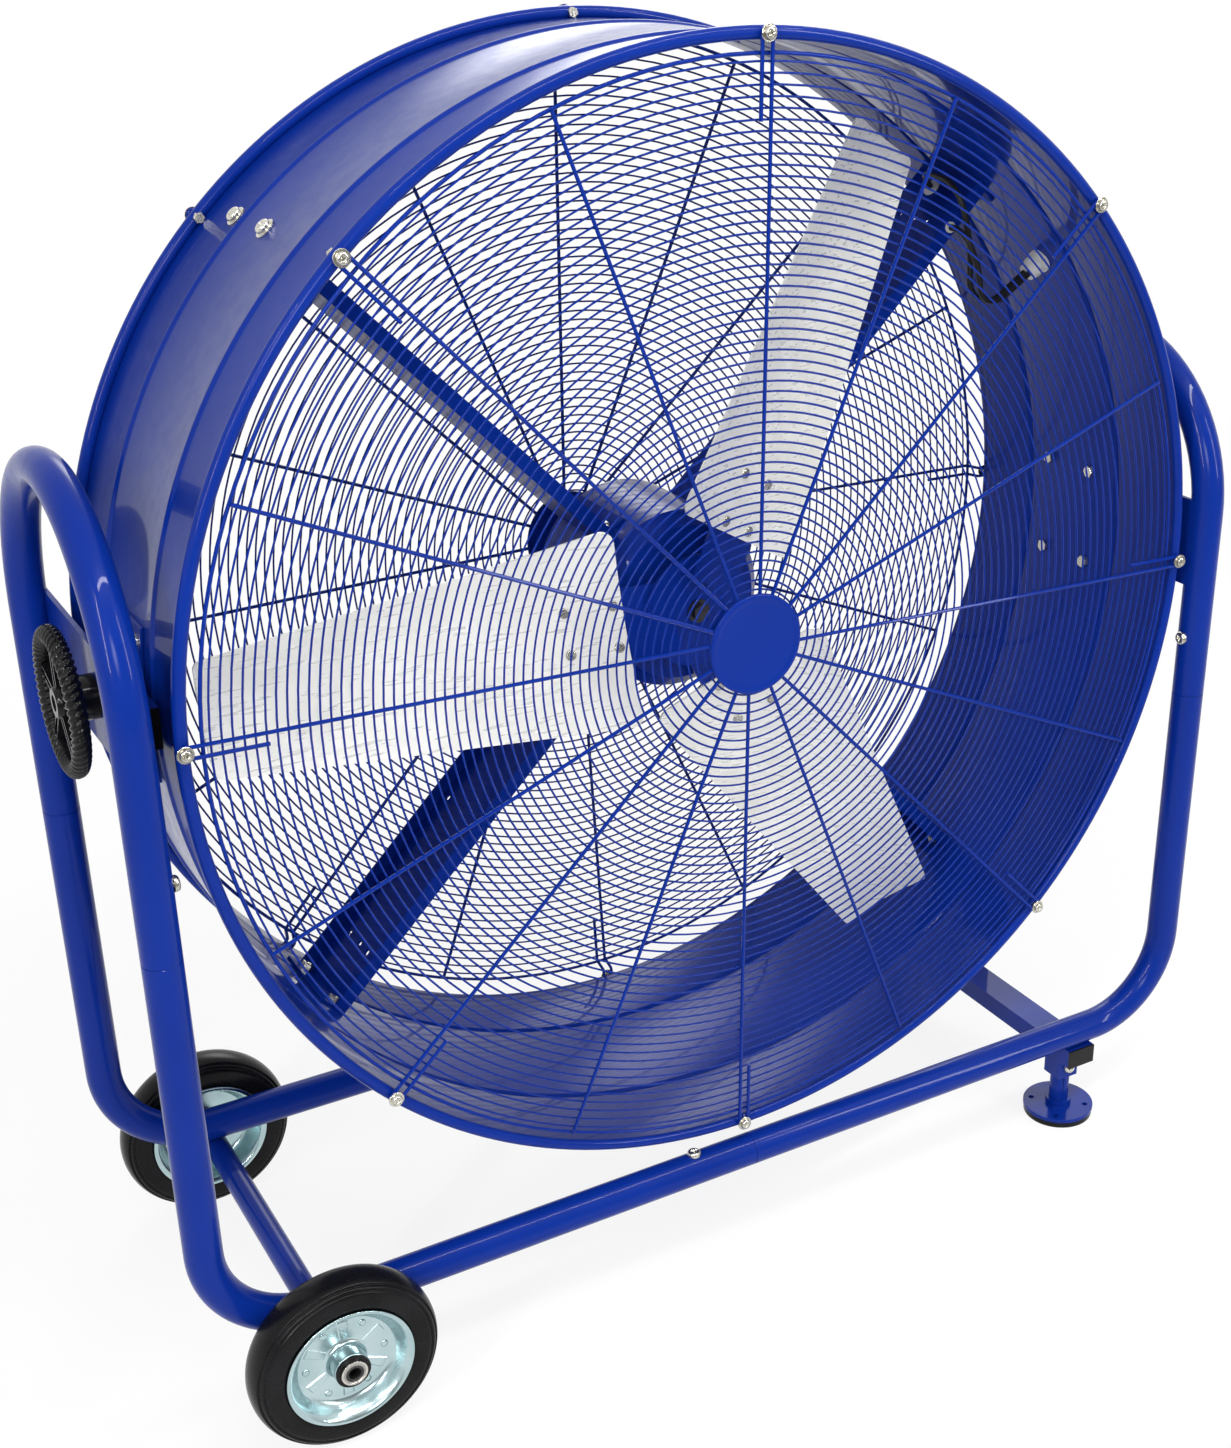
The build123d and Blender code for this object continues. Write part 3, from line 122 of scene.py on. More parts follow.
# %% Node wrapper
class Wire:
    """A node's output. Arithmetic on it makes Math nodes."""

    def __init__(self, nodes, socket):
        self.nodes, self.socket = nodes, socket

    def __add__(self, other):
        return self.nodes.math("ADD", self, other)

    def __sub__(self, other):
        return self.nodes.math("SUBTRACT", self, other)

    def __rsub__(self, other):
        return self.nodes.math("SUBTRACT", other, self)

    def __mul__(self, other):
        return self.nodes.math("MULTIPLY", self, other)

    def __truediv__(self, other):
        return self.nodes.math("DIVIDE", self, other)

    def __gt__(self, other):
        return self.nodes.math("GREATER_THAN", self, other)


class Nodes:
    """Makes nodes in one tree."""

    def __init__(self, tree):
        self.tree = tree

    def node(self, kind, inputs=None, output=0, **settings):
        made = self.tree.nodes.new(kind)
        for key, value in settings.items():
            setattr(made, key, value)
        for key, value in (inputs or {}).items():
            if isinstance(value, Wire):
                self.tree.links.new(value.socket, made.inputs[key])
            else:
                made.inputs[key].default_value = value
        return Wire(self, made.outputs[output])

    def sh(self, kind, inputs=None, output=0, **settings):
        return self.node("ShaderNode" + kind, inputs, output, **settings)

    def geo(self, kind, inputs=None, output=0, **settings):
        return self.node("GeometryNode" + kind, inputs, output, **settings)

    def math(self, operation, first, second=0.0):
        return self.sh("Math", {0: first, 1: second}, operation=operation)

    def vector(self, x, y, z):
        return self.sh("CombineXYZ", {0: x, 1: y, 2: z})

    def split(self, vector, axis):
        return self.sh("SeparateXYZ", {0: vector}, "XYZ".index(axis))


print("node wrapper ready")

# %% [markdown]
# ## Room and light
# A product photograph like this one is made in a white room with large soft lamps. The world is white where
# the camera or a reflection sees it, and softer where it lights the fan. The photographer's side of a studio
# is its dark side, which gives polished metal something dark to reflect. Long lamps give the narrow streaks
# that run along the painted tubes, and the lamp behind gives the pale sheen on top of the drum.

# %% Room and light
scene = bpy.context.scene
scene.view_settings.view_transform = "Standard"
scene.world = bpy.data.worlds.new("white_room")
pure_white, room_light = (1, 1, 1, 1), 0.4


def set_shader(owner, kind, recipe):
    """Gives a world, a lamp or a material the shader that its recipe makes with the node wrapper."""
    owner.use_nodes = True
    tree = owner.node_tree
    tree.nodes.clear()
    shader = recipe(Nodes(tree))
    output = tree.nodes.new("ShaderNodeOutput" + kind)
    tree.links.new(shader.socket, output.inputs["Surface"])


def seen_white(nodes):
    """1 where the camera, a reflection or a view through glass looks, 0 for light on a surface."""
    rays = [nodes.sh("LightPath", output=name)
            for name in ("Is Camera Ray", "Is Glossy Ray", "Is Transmission Ray")]
    return nodes.math("MAXIMUM", nodes.math("MAXIMUM", rays[0], rays[1]), rays[2])


def ranged(nodes, value, source, target, **settings):
    """Maps a value from one (low, high) range to another."""
    return nodes.sh("MapRange", {"Value": value, "From Min": source[0], "From Max": source[1],
                                 "To Min": target[0], "To Max": target[1]}, **settings)


def front_shade(nodes, y, dark_to_white):
    """1, and less for a reflection that looks toward the photographer's side, which is -Y."""
    darkest = 0.75
    reflected = nodes.sh("LightPath", output="Is Glossy Ray")
    return 1.0 - reflected * ranged(nodes, y, dark_to_white, (darkest, 0.0))


def white_room(nodes):
    shade = front_shade(nodes, nodes.split(nodes.sh("TexCoord", output="Generated"), "Y"), (-0.9, 0.0))
    dim, white = (nodes.sh("Background", {"Color": pure_white, "Strength": s}) for s in (room_light, shade))
    return nodes.sh("MixShader", {0: seen_white(nodes), 1: dim, 2: white})


set_shader(scene.world, "World", white_room)


def faded_glow(nodes):
    """A lamp's light, which fades from its middle to its edges."""
    on_lamp = nodes.sh("NewGeometry", output="Parametric")
    from_middle = nodes.sh("VectorMath", {0: on_lamp, 1: (0.5, 0.5, 0.0)}, "Value", operation="DISTANCE")
    fade = ranged(nodes, from_middle, (0.0, 0.5), (1.0, 0.0), interpolation_type="SMOOTHERSTEP")
    return nodes.sh("Emission", {"Color": pure_white, "Strength": fade})


def lamp(name, place, target_height, size, watts, feathered=False):
    """A rectangular lamp that faces a height over the middle; a feathered one fades toward its edges."""
    data = bpy.data.lights.new(name, "AREA")
    data.shape, data.size, data.size_y, data.energy = "RECTANGLE", size[0], size[1], watts
    if feathered:
        set_shader(data, "Light", faded_glow)
    item = bpy.data.objects.new(name, data)
    scene.collection.objects.link(item)
    aim = (Vector((0, 0, target_height)) - Vector(place)).to_track_quat("-Z", "Y")
    item.matrix_world = Matrix.Translation(place) @ aim.to_matrix().to_4x4()


lamp("long_lamp_above", (0.3, -1.6, 3.6), 0.8, (3.4, 0.16), 75)
lamp("long_lamp_left", (-3.0, -1.9, 2.3), 0.8, (0.12, 2.2), 55)
lamp("long_lamp_right", (2.2, -2.8, 2.2), 0.7, (0.3, 2.2), 45)
lamp("soft_lamp_front", (-1.6, -3.6, 2.3), 0.7, (2.0, 2.0), 190, feathered=True)
lamp("soft_lamp_behind", (2.6, 4.4, 3.6), 1.0, (5.6, 3.6), 420, feathered=True)
print("lamps", len(bpy.data.lights))


def material(name, recipe):
    made = bpy.data.materials.new(name)
    set_shader(made, "Material", recipe)
    return made


def pale_floor(nodes):
    """Matte and lit near the fan, where its shadow falls, and white farther out."""
    matte = nodes.sh("BsdfDiffuse", {"Color": (0.94, 0.94, 0.94, 1)})
    place = nodes.sh("TexCoord", output="Object")
    shade = front_shade(nodes, nodes.split(place, "Y"), (-3.0, -0.7))
    glow = nodes.sh("Emission", {"Color": pure_white, "Strength": shade})
    away = nodes.sh("VectorMath", {0: place}, "Value", operation="LENGTH")
    whiteness = ranged(nodes, away, (0.8, 2.6), (0.85, 1.0))
    return nodes.sh("MixShader", {0: seen_white(nodes) * whiteness, 1: matte, 2: glow})


floor_mesh = bpy.data.meshes.new("floor")
reach, square = 80.0, ((-1, -1), (1, -1), (1, 1), (-1, 1))
floor_corners = [(x * reach, y * reach, 0) for x, y in square]
floor_mesh.from_pydata(floor_corners, [], [(0, 1, 2, 3)])
floor = bpy.data.objects.new("floor", floor_mesh)
floor.data.materials.append(material("pale_floor", pale_floor))
scene.collection.objects.link(floor)

# %% [markdown]
# ## Finishes
# The drum and frame have a deep blue powder coat, baked to a high gloss. A coat like that is never quite
# flat: it has a faint orange peel, which a fine noise gives through the bump, and the pigment varies a
# little. The arms inside the drum have the same coat, but theirs is a copy with a thin clear layer, which
# paints shade on them: it takes away the white reflection that they would show.


# %% Blue paint
def object_noise(nodes, scale, detail=2.0, stretch=(1, 1, 1), turn_y=0.0):
    """Noise on the object's own coordinates, in features per metre."""
    place = nodes.sh("TexCoord", output="Object")
    place = nodes.sh("Mapping", {"Vector": place, "Rotation": (0, turn_y, 0), "Scale": stretch})
    return nodes.sh("TexNoise", {"Vector": place, "Scale": scale, "Detail": detail})


def blended(nodes, share, first, second):
    """A colour between two, by a share from 0 to 1."""
    return nodes.sh("Mix", {0: share, 6: (*first, 1), 7: (*second, 1)}, 2, data_type="RGBA")


def spread_out(nodes, value, low, high):
    """Maps the middle of a noise, where most of its values lie, to a range."""
    return ranged(nodes, value, (0.35, 0.65), (low, high))


def bumped(nodes, height, strength, distance):
    return nodes.sh("Bump", {"Height": height, "Strength": strength, "Distance": distance})


def surface(nodes, constants, **wires):
    """The principled shader: constants on its own sockets, wires for what varies."""
    names = {"color": "Base Color", "roughness": "Roughness", "normal": "Normal", "metallic": "Metallic"}
    return nodes.sh("BsdfPrincipled", {**constants, **{names[key]: wire for key, wire in wires.items()}})


def blue_paint(name, gloss):
    """The powder coat, with the share of its clear top layer."""
    def recipe(nodes):
        cloud = spread_out(nodes, object_noise(nodes, 5.0, 3.0), 0.0, 1.0)
        peel = object_noise(nodes, 420.0, 1.0) + object_noise(nodes, 9.0, 1.0) * 4.0
        top_layer = {"Coat Weight": gloss, "Coat Roughness": 0.045, "Coat IOR": 1.27}
        return surface(nodes, {"Specular IOR Level": gloss * 0.1, **top_layer},
                       color=blended(nodes, cloud, (0.0016, 0.0185, 0.198), (0.0022, 0.022, 0.226)),
                       roughness=spread_out(nodes, object_noise(nodes, 60.0), 0.30, 0.38),
                       normal=bumped(nodes, peel, 0.05, 0.0001))
    return material(name, recipe)


blue_gloss = blue_paint("blue_gloss_coat", 0.5)
# A copy with a thin clear layer for the arms inside the drum: painted shade, which takes away their white
# reflection.
blue_painted_shade = blue_paint("blue_thin_coat", 0.12)
print("paints", blue_gloss.name, blue_painted_shade.name)

# %% [markdown]
# ## Metals and plastics
# Zinc plate on screws is slightly yellow, on the wheel rims slightly blue-green. The hub bolt is phosphated,
# nearly black. The blades are mill-finish aluminium: the rolling lines run along the sheet, so the noise is
# stretched along one direction of the blade. Rubber and moulded plastic are told apart by gloss and grain.

# %% Metals and plastics
def metal(name, dark, light, roughness, grain=900.0, stretch=(1, 1, 1), turn_y=0.0, depth=0.05, bare=1.0):
    """A metal between two colours, with its grain per metre, the grain's depth and how bare its skin is."""
    def recipe(nodes):
        lines = object_noise(nodes, grain, 3.0, stretch, turn_y)
        patches = spread_out(nodes, object_noise(nodes, 14.0, 4.0), 0.0, 1.0)
        return surface(nodes, {"Metallic": bare}, color=blended(nodes, patches, dark, light),
                       roughness=spread_out(nodes, lines, *roughness),
                       normal=bumped(nodes, lines, depth, 0.0003))
    return material(name, recipe)


def moulded(name, dark, light, roughness, grain, depth, shine=0.2):
    """A moulded surface between two colours, with its grain per metre, the grain's depth and its shine."""
    def recipe(nodes):
        pores = object_noise(nodes, grain, 4.0)
        dust = spread_out(nodes, object_noise(nodes, 18.0, 5.0), 0.0, 1.0)
        return surface(nodes, {"Specular IOR Level": shine}, color=blended(nodes, dust, dark, light),
                       roughness=spread_out(nodes, pores, *roughness),
                       normal=bumped(nodes, pores, depth, 0.0003))
    return material(name, recipe)


# Inside the last radius here, measured from the axle's line, the spindle is coloured black: its bore and most
# of its ends.
axle_x, axle_z, black_inside_radius = shift - 515 * mm, 100 * mm, 9.6 * mm


def spindle_recipe(nodes):
    """Drawn steel tube, black inside a radius from the axle's line, over its bore and its ends, and bright
    steel outside it.
    """
    place = nodes.sh("TexCoord", output="Object")
    x, z = nodes.split(place, "X") - axle_x, nodes.split(place, "Z") - axle_z
    bright = nodes.math("SQRT", x * x + z * z) > black_inside_radius
    return surface(nodes, {}, color=blended(nodes, bright, (0.01, 0.01, 0.01), (0.66, 0.63, 0.58)),
                   metallic=bright, roughness=spread_out(nodes, object_noise(nodes, 300.0), 0.22, 0.34))


bright_steel = material("bright_steel", spindle_recipe)
screw_zinc = metal("screw_zinc", (0.52, 0.50, 0.42), (0.70, 0.68, 0.60), (0.20, 0.34))
rim_zinc = metal("rim_zinc", (0.38, 0.52, 0.54), (0.54, 0.67, 0.69), (0.21, 0.27), grain=60.0, depth=0.002)
phosphate_steel = metal("phosphate_steel", (0.05, 0.05, 0.055), (0.09, 0.09, 0.095), (0.35, 0.5))
machined_steel = metal("machined_steel", (0.26, 0.26, 0.27), (0.40, 0.40, 0.41), (0.35, 0.5))
copper_steel = metal("wound_stator", (0.30, 0.13, 0.06), (0.48, 0.24, 0.12), (0.35, 0.55), grain=300.0)
first_blade_angle, blade_count = 60.0, 3
blade_turns = [radians(first_blade_angle + 360 / blade_count * k) for k in range(blade_count)]
blade_metal = [metal("blade_aluminium_%d" % (k + 1), (0.90, 0.89, 0.82), (0.98, 0.97, 0.91), (0.26, 0.38),
                     grain=260.0, stretch=(0.05, 1, 1), turn_y=turn_y, depth=0.02, bare=0.3)
               for k, turn_y in enumerate(blade_turns)]
black_range = (0.003, 0.003, 0.0035), (0.008, 0.008, 0.009)
tyre_rubber = moulded("tyre_rubber", *black_range, (0.20, 0.30), grain=700.0, depth=0.03, shine=0.14)
black_plastic = moulded("black_plastic", *black_range, (0.12, 0.20), grain=1100.0, depth=0.04)
lead_black = moulded("lead_sheath", (0.010, 0.010, 0.011), (0.018, 0.018, 0.019), (0.3, 0.42), 1500.0, 0.05)
pale_plastic = moulded("pale_plastic", (0.50, 0.50, 0.47), (0.60, 0.60, 0.57), (0.35, 0.5), 800.0, 0.05)
print("finishes", len(bpy.data.materials))

# %% [markdown]
# ## Meshes from a profile or a path
# Two helpers make most of the round parts. A turned part is a profile run round an axis, as on a lathe. A
# tube or wire is a circle run along a path. Both give closed meshes whose faces point outwards.

# %% Mesh helpers
def smooth_mesh(name, builder, sharp_above=35.0):
    """Wraps bmesh work: closed, outward, smooth except where faces meet at more than an angle."""
    shape = bmesh.new()
    builder(shape)
    bmesh.ops.recalc_face_normals(shape, faces=shape.faces)
    mesh = bpy.data.meshes.new(name)
    shape.to_mesh(mesh)
    shape.free()
    mesh.shade_smooth()
    mesh.set_sharp_from_angle(angle=radians(sharp_above))
    return mesh


def turned(shape, profile, place, segments=64, closed=True):
    """Runs (radius, height) points in mm round an axis; a point at radius 0 becomes a pole."""
    angles = [2 * pi * k / segments for k in range(segments)]
    rings = []
    for radius, height in profile:
        r, z = radius * mm, height * mm
        rings.append([shape.verts.new(place @ Vector((r * cos(a), r * sin(a), z)))
                      for a in (angles if radius else angles[:1])])
    for one, two in zip(rings, rings[1:] + rings[:1] if closed else rings[1:]):
        for k in range(segments):
            n = (k + 1) % segments
            corners = [one[k % len(one)], one[n % len(one)], two[n % len(two)], two[k % len(two)]]
            face = list(dict.fromkeys(corners))
            if len(face) > 2:
                shape.faces.new(face)


def softened(profile, times=2):
    """Cuts the corners of a closed profile again and again, as the radii of pressed or moulded parts do."""
    for _ in range(times):
        profile = [(a[0] * near + b[0] * (1 - near), a[1] * near + b[1] * (1 - near))
                   for a, b in zip(profile, profile[1:] + profile[:1]) for near in (0.75, 0.25)]
    return profile


def rounded(corners, radius, steps=8):
    """A path through corners, each rounded by an arc, as points in the corners' own units."""
    corners = [Vector(c) for c in corners]
    points = [corners[0]]
    for before, here, after in zip(corners, corners[1:], corners[2:]):
        way_in, way_out = (here - before).normalized(), (after - here).normalized()
        turn_angle = way_in.angle(way_out)
        reach_back = radius * sin(turn_angle / 2) / cos(turn_angle / 2)
        start = here - way_in * reach_back
        inward = (way_out - way_in * way_in.dot(way_out)).normalized()
        centre = start + inward * radius
        angles = [turn_angle * k / steps for k in range(steps + 1)]
        points += [centre - inward * (radius * cos(a)) + way_in * (radius * sin(a)) for a in angles]
    return points + [corners[-1]]


def swept(shape, points, radius, sides=12, soft_end=0.0):
    """A round tube or wire of a radius in mm along points in metres, closed at its ends."""
    points = [Vector(p) for p in points]
    radii = [radius * mm] * len(points)
    if soft_end:
        first, last = (points[1] - points[0]).normalized(), (points[-2] - points[-1]).normalized()
        points = [points[0], points[0] + first * soft_end * mm, *points[1:-1],
                  points[-1] + last * soft_end * mm, points[-1]]
        radii = [(radius - soft_end) * mm] + [radius * mm] * (len(points) - 2) + [(radius - soft_end) * mm]
    ways = [(b - a).normalized() for a, b in zip(points, points[1:])]
    tangents = [ways[0]] + [(a + b).normalized() for a, b in zip(ways, ways[1:])] + [ways[-1]]
    side = tangents[0].orthogonal().normalized()
    angles = [2 * pi * k / sides for k in range(sides)]
    rings = []
    for point, way, r in zip(points, tangents, radii):
        side = (side - way * side.dot(way)).normalized()
        other = way.cross(side)
        rings.append([shape.verts.new(point + (side * cos(a) + other * sin(a)) * r) for a in angles])
    for one, two in zip(rings, rings[1:]):
        for k in range(sides):
            shape.faces.new((one[k], one[(k + 1) % sides], two[(k + 1) % sides], two[k]))
    shape.faces.new(rings[0])
    shape.faces.new(rings[-1])


def joined(name, meshes):
    """One mesh from several."""
    shape = bmesh.new()
    for mesh in meshes:
        shape.from_mesh(mesh)
    result = bpy.data.meshes.new(name)
    shape.to_mesh(result)
    shape.free()
    return result


def place_piece(name, mesh, finish, body, slot, *nodes):
    """Puts a finished mesh in the scene, on its body, in place of its CAD nodes."""
    item = bpy.data.objects.new(name, mesh)
    scene.collection.objects.link(item)
    mesh.materials.clear()
    mesh.materials.append(finish)
    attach(item, body)
    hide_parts(*nodes)
    print(name, sum(len(face.vertices) - 2 for face in mesh.polygons), "triangles")


# %% [markdown]
# ## Trees that repeat
# A guard has more than fifty rings and sixteen spokes, and the fan nearly fifty screws. Geometry Nodes make
# them from one ring, one spoke and one screw, with the counts and pitches as inputs. The result is kept as a
# plain mesh.

# %% Geometry Nodes helpers
def start_tree(name, **inputs):
    """A tree with named inputs, listed by their kinds."""
    tree = bpy.data.node_groups.new(name, "GeometryNodeTree")
    tree.interface.new_socket("Geometry", in_out="OUTPUT", socket_type="NodeSocketGeometry")
    for kind, labels in inputs.items():
        for label in labels:
            tree.interface.new_socket(label, in_out="INPUT", socket_type="NodeSocket" + kind)
    entry = tree.nodes.new("NodeGroupInput")
    nodes = Nodes(tree)
    given = [label for labels in inputs.values() for label in labels]
    return nodes, {label: Wire(nodes, entry.outputs[label]) for label in given}


def end_tree(nodes, geometry, finish=None):
    """Ends a tree in real geometry, with its material where it sets one."""
    made = nodes.geo("RealizeInstances", {"Geometry": geometry})
    if finish:
        made = nodes.geo("SetMaterial", {"Geometry": made, "Material": finish})
    way_out = nodes.tree.nodes.new("NodeGroupOutput")
    nodes.tree.links.new(made.socket, way_out.inputs["Geometry"])
    return nodes.tree


def kept_mesh(item):
    """A plain mesh of an object with its modifiers applied."""
    graph = bpy.context.evaluated_depsgraph_get()
    made = item.evaluated_get(graph)
    return bpy.data.meshes.new_from_object(made, preserve_all_data_layers=True, depsgraph=graph)


def set_inputs(modifier, values):
    """Sets a tree's inputs by their labels, through the sockets' identifiers."""
    for item in modifier.node_group.interface.items_tree:
        if item.in_out == "INPUT" and item.name in values:
            modifier[item.identifier] = values[item.name]


def grow(name, tree, values, base=None):
    """Runs a tree on a base mesh and keeps what it makes as a plain mesh."""
    holder = bpy.data.objects.new(name, base or bpy.data.meshes.new(name + "_base"))
    scene.collection.objects.link(holder)
    modifier = holder.modifiers.new("grow", "NODES")
    modifier.node_group = tree
    set_inputs(modifier, values)
    mesh = kept_mesh(holder)
    bpy.data.objects.remove(holder)
    return mesh


def ring_tree():
    """Rings of wire, each a pitch smaller than the last and a step further along the fan's axis."""
    nodes, given = start_tree(
        "wire_rings", Int=["Count"], Float=["First Radius", "Pitch", "First Place", "Step", "Wire Radius"],
        Vector=["Centre"], Material=["Material"])
    start = nodes.vector(0.0, given["First Place"], 0.0)
    line = nodes.geo("MeshLine", {"Count": given["Count"], "Start Location": start,
                                  "Offset": nodes.vector(0.0, given["Step"], 0.0)})
    circle = nodes.geo("CurvePrimitiveCircle", {"Resolution": 128, "Radius": 1.0})
    radius = given["First Radius"] - nodes.geo("InputIndex") * given["Pitch"]
    rings = nodes.geo("InstanceOnPoints", {
        "Points": line, "Instance": circle, "Rotation": nodes.vector(pi / 2, 0.0, 0.0),
        "Scale": nodes.vector(radius, radius, radius)})
    rings = nodes.geo("RealizeInstances", {"Geometry": rings})
    section = nodes.geo("CurvePrimitiveCircle", {"Resolution": 6, "Radius": given["Wire Radius"]})
    wire = nodes.geo("CurveToMesh", {"Curve": rings, "Profile Curve": section})
    wire = nodes.geo("SetShadeSmooth", {"Geometry": wire, "Shade Smooth": True})
    wire = nodes.geo("Transform", {"Geometry": wire, "Translation": given["Centre"]})
    return end_tree(nodes, wire, given["Material"])


def round_tree():
    """Copies of one part, evenly spaced round Y; the whole is then turned and moved to its centre."""
    nodes, given = start_tree("copies_round_axis", Object=["Part"], Int=["Count"], Float=["First Angle"],
                              Rotation=["Turn"], Vector=["Centre"], Material=["Material"])
    part = nodes.geo("ObjectInfo", {"Object": given["Part"]}, "Geometry", transform_space="ORIGINAL")
    points = nodes.geo("MeshLine", {"Count": given["Count"], "Offset": (0.0, 0.0, 0.0)})
    angle = given["First Angle"] + nodes.geo("InputIndex") * (2 * pi) / given["Count"]
    turn_back = nodes.vector(0.0, 0.0 - angle, 0.0)
    ring = nodes.geo("InstanceOnPoints", {"Points": points, "Instance": part, "Rotation": turn_back})
    real = nodes.geo("RealizeInstances", {"Geometry": ring})
    moved = nodes.geo("Transform", {"Geometry": real, "Rotation": given["Turn"],
                                    "Translation": given["Centre"]})
    return end_tree(nodes, moved, given["Material"])


def seat_tree():
    """A fastener on each point of the base, turned to the point's outward direction and spun at random."""
    nodes, given = start_tree("fasteners_on_seats", Geometry=["Seats"], Object=["Fastener"], Int=["Seed"],
                              Material=["Material"])
    part = nodes.geo("ObjectInfo", {"Object": given["Fastener"]}, "Geometry", transform_space="ORIGINAL")
    outward = nodes.geo("InputNamedAttribute", {"Name": "outward"}, "Attribute", data_type="FLOAT_VECTOR")
    aim = nodes.node("FunctionNodeAlignRotationToVector", {"Vector": outward}, axis="Z")
    spin = nodes.node("FunctionNodeRandomValue", {2: 0.0, 3: 2 * pi, "Seed": given["Seed"]}, 1,
                      data_type="FLOAT")
    spun = nodes.node("FunctionNodeRotateRotation", {0: aim, 1: nodes.vector(0.0, 0.0, spin)},
                      rotation_space="LOCAL")
    placed = nodes.geo("InstanceOnPoints", {"Points": given["Seats"], "Instance": part, "Rotation": spun})
    return end_tree(nodes, placed, given["Material"])


rings_of_wire, round_copies, on_seats = ring_tree(), round_tree(), seat_tree()
print("trees", len(bpy.data.node_groups))


def copies(name, mesh, count, first_angle, finish, centre=None, whole_turn=(0.0, 0.0, 0.0)):
    """Runs the round tree on one mesh; the angle is anticlockwise seen from the front, in degrees."""
    part = bpy.data.objects.new(name + "_one", mesh)
    result = grow(name, round_copies, {
        "Part": part, "Count": count, "First Angle": radians(first_angle), "Turn": whole_turn,
        "Centre": tuple(centre or drum_centre), "Material": finish})
    bpy.data.objects.remove(part)
    return result


# %% [markdown]
# ## The drum
# The drum is one sheet of steel, rolled round, with two stiffening swages pressed into it and each edge
# curled over a wire. All of that is one profile, so the drum is turned in one go. More than two hundred steps
# round keep the reflections in the paint smooth.

# %% Drum shell
drum_place = Matrix.Translation(drum_centre) @ Matrix.Rotation(-pi / 2, 4, "X")
outer_radius, wall = 581.2, 1.5
inner_radius = outer_radius - wall
curl_radius, curl_y = 6.6, 176.3
curl_centre = inner_radius + curl_radius
swage_y, swage_height, swage_half = 80.0, 3.0, 6.0


def swage(radius, y_middle):
    """The rounded ridge of a swage, from its low side to its high side."""
    steps = [k / 5 for k in range(-5, 6)]
    return [(radius + swage_height * (0.5 + 0.5 * cos(pi * s)), y_middle + swage_half * s) for s in steps]


def curl(radius, side):
    """The rolled edge round its wire, from the drum's inner wall to its outer wall."""
    rolled, steps = 320, 28
    angles = [radians(180 - rolled * k / steps) for k in range(steps + 1)]
    return [(curl_centre + radius * cos(a), side * (curl_y + radius * sin(a))) for a in angles]


outside = swage(outer_radius, -swage_y) + swage(outer_radius, swage_y)
inside = swage(inner_radius, -swage_y) + swage(inner_radius, swage_y)
drum_profile = curl(curl_radius, -1)[::-1] + inside + curl(curl_radius, 1) + outside[::-1]
drum_mesh = smooth_mesh("drum", lambda shape: turned(shape, drum_profile, drum_place, 224))
place_piece("drum", drum_mesh, blue_gloss, "drum", "blue_paint", "drum_shell")

# %% [markdown]
# ## The guards
# Each guard is a set of wire rings welded behind sixteen spokes. Every second spoke is a hairpin: one long
# wire goes out to the rim, turns round a screw and comes back a short way beside itself. The front guard is
# flat and the rear one is dished, which only changes how far along the axis each ring lies.

# %% Guards
spoke_wire, ring_wire, spoke_y = 4.0, 2.2, -184.95
ring_count, first_ring, ring_pitch, edge_ring = 51, 562.0, 10.1, 569.0
hairpin_half, short_end, inner_end = 5.5, 510.0, 46.0
front_turn, rear_turn = -1.0, 0.8
dish_start, dish_rise, dish_edge = 202.9, 30.0 / 515.0, 570.0
flat_reach, leg_bend = 10.5, 4.0


def dish(radius):
    """How far along the axis the rear guard's spokes lie at a radius."""
    return dish_start + dish_rise * (edge_ring - radius)


def to_metres(points):
    return [Vector(p) * mm for p in points]


def hairpin(leg_points, long_side):
    """Both legs of a hairpin and its bend, as one wire; leg_points run from the bend inwards."""
    y, across = leg_points[0][1], long_side * hairpin_half
    bend = [Vector((curl_centre + hairpin_half * sin(pi * k / 10), y, across * cos(pi * k / 10)))
            for k in range(11)]
    legs = []
    for end, z in ((inner_end, across), (short_end, -across)):
        leg = [(r, along, z) for r, along in leg_points + [(end, dish(end) if y > 0 else y)]]
        legs.append(rounded(leg, leg_bend) if len(leg) > 2 else [Vector(p) for p in leg])
    return to_metres(legs[0][:0:-1] + bend + legs[1][1:])


rear_leg = [(curl_centre, -spoke_y), (curl_centre - flat_reach, -spoke_y), (dish_edge, dish(dish_edge))]
guards = [("front", [(curl_centre, spoke_y)], front_turn, lambda r: spoke_y, -1),
          ("rear", rear_leg, rear_turn, dish, 1)]
hairpin_count, weld_depth = 8, 0.3
for depth, leg, first_angle, y_at, way in guards:
    pin_path = hairpin(leg, way)
    pin = smooth_mesh("hairpin", lambda shape: swept(shape, pin_path, spoke_wire / 2, 8))
    ends = to_metres([(r, y_at(r), 0) for r in (edge_ring, inner_end)])
    plain = smooth_mesh("spoke", lambda shape: swept(shape, ends, spoke_wire / 2, 8))
    wires = [copies("hairpins", pin, hairpin_count, first_angle, blue_gloss),
             copies("spokes", plain, hairpin_count, first_angle + 180 / hairpin_count, blue_gloss)]
    for count, radius, wire in ((1, edge_ring, spoke_wire), (ring_count, first_ring, ring_wire)):
        away = (spoke_wire + wire) / 2 - weld_depth
        wires.append(grow("rings", rings_of_wire, {
            "Count": count, "First Radius": radius * mm, "Pitch": ring_pitch * mm,
            "First Place": (y_at(radius) - way * away) * mm,
            "Step": (y_at(radius - ring_pitch) - y_at(radius)) * mm,
            "Wire Radius": wire / 2 * mm, "Centre": tuple(drum_centre), "Material": blue_gloss}))
    place_piece(depth + "_wire_guard", joined(depth + "_guard", wires), blue_gloss, "drum", "blue_paint",
                depth + "_guard")

# %% [markdown]
# ## The guard caps
# A pressed disc closes the middle of each guard. It is sunk a little inside a border, and its edge is turned
# back, so the profile ends in a small round and a lip.

# %% Guard caps
cap_radius, cap_height, cap_sheet = 54.0, 3.0, 1.5
cap_round, cap_sunk, cap_border = 2.5, 0.8, 9
quarter_arc = [pi / 2 * k / 6 for k in range(7)]


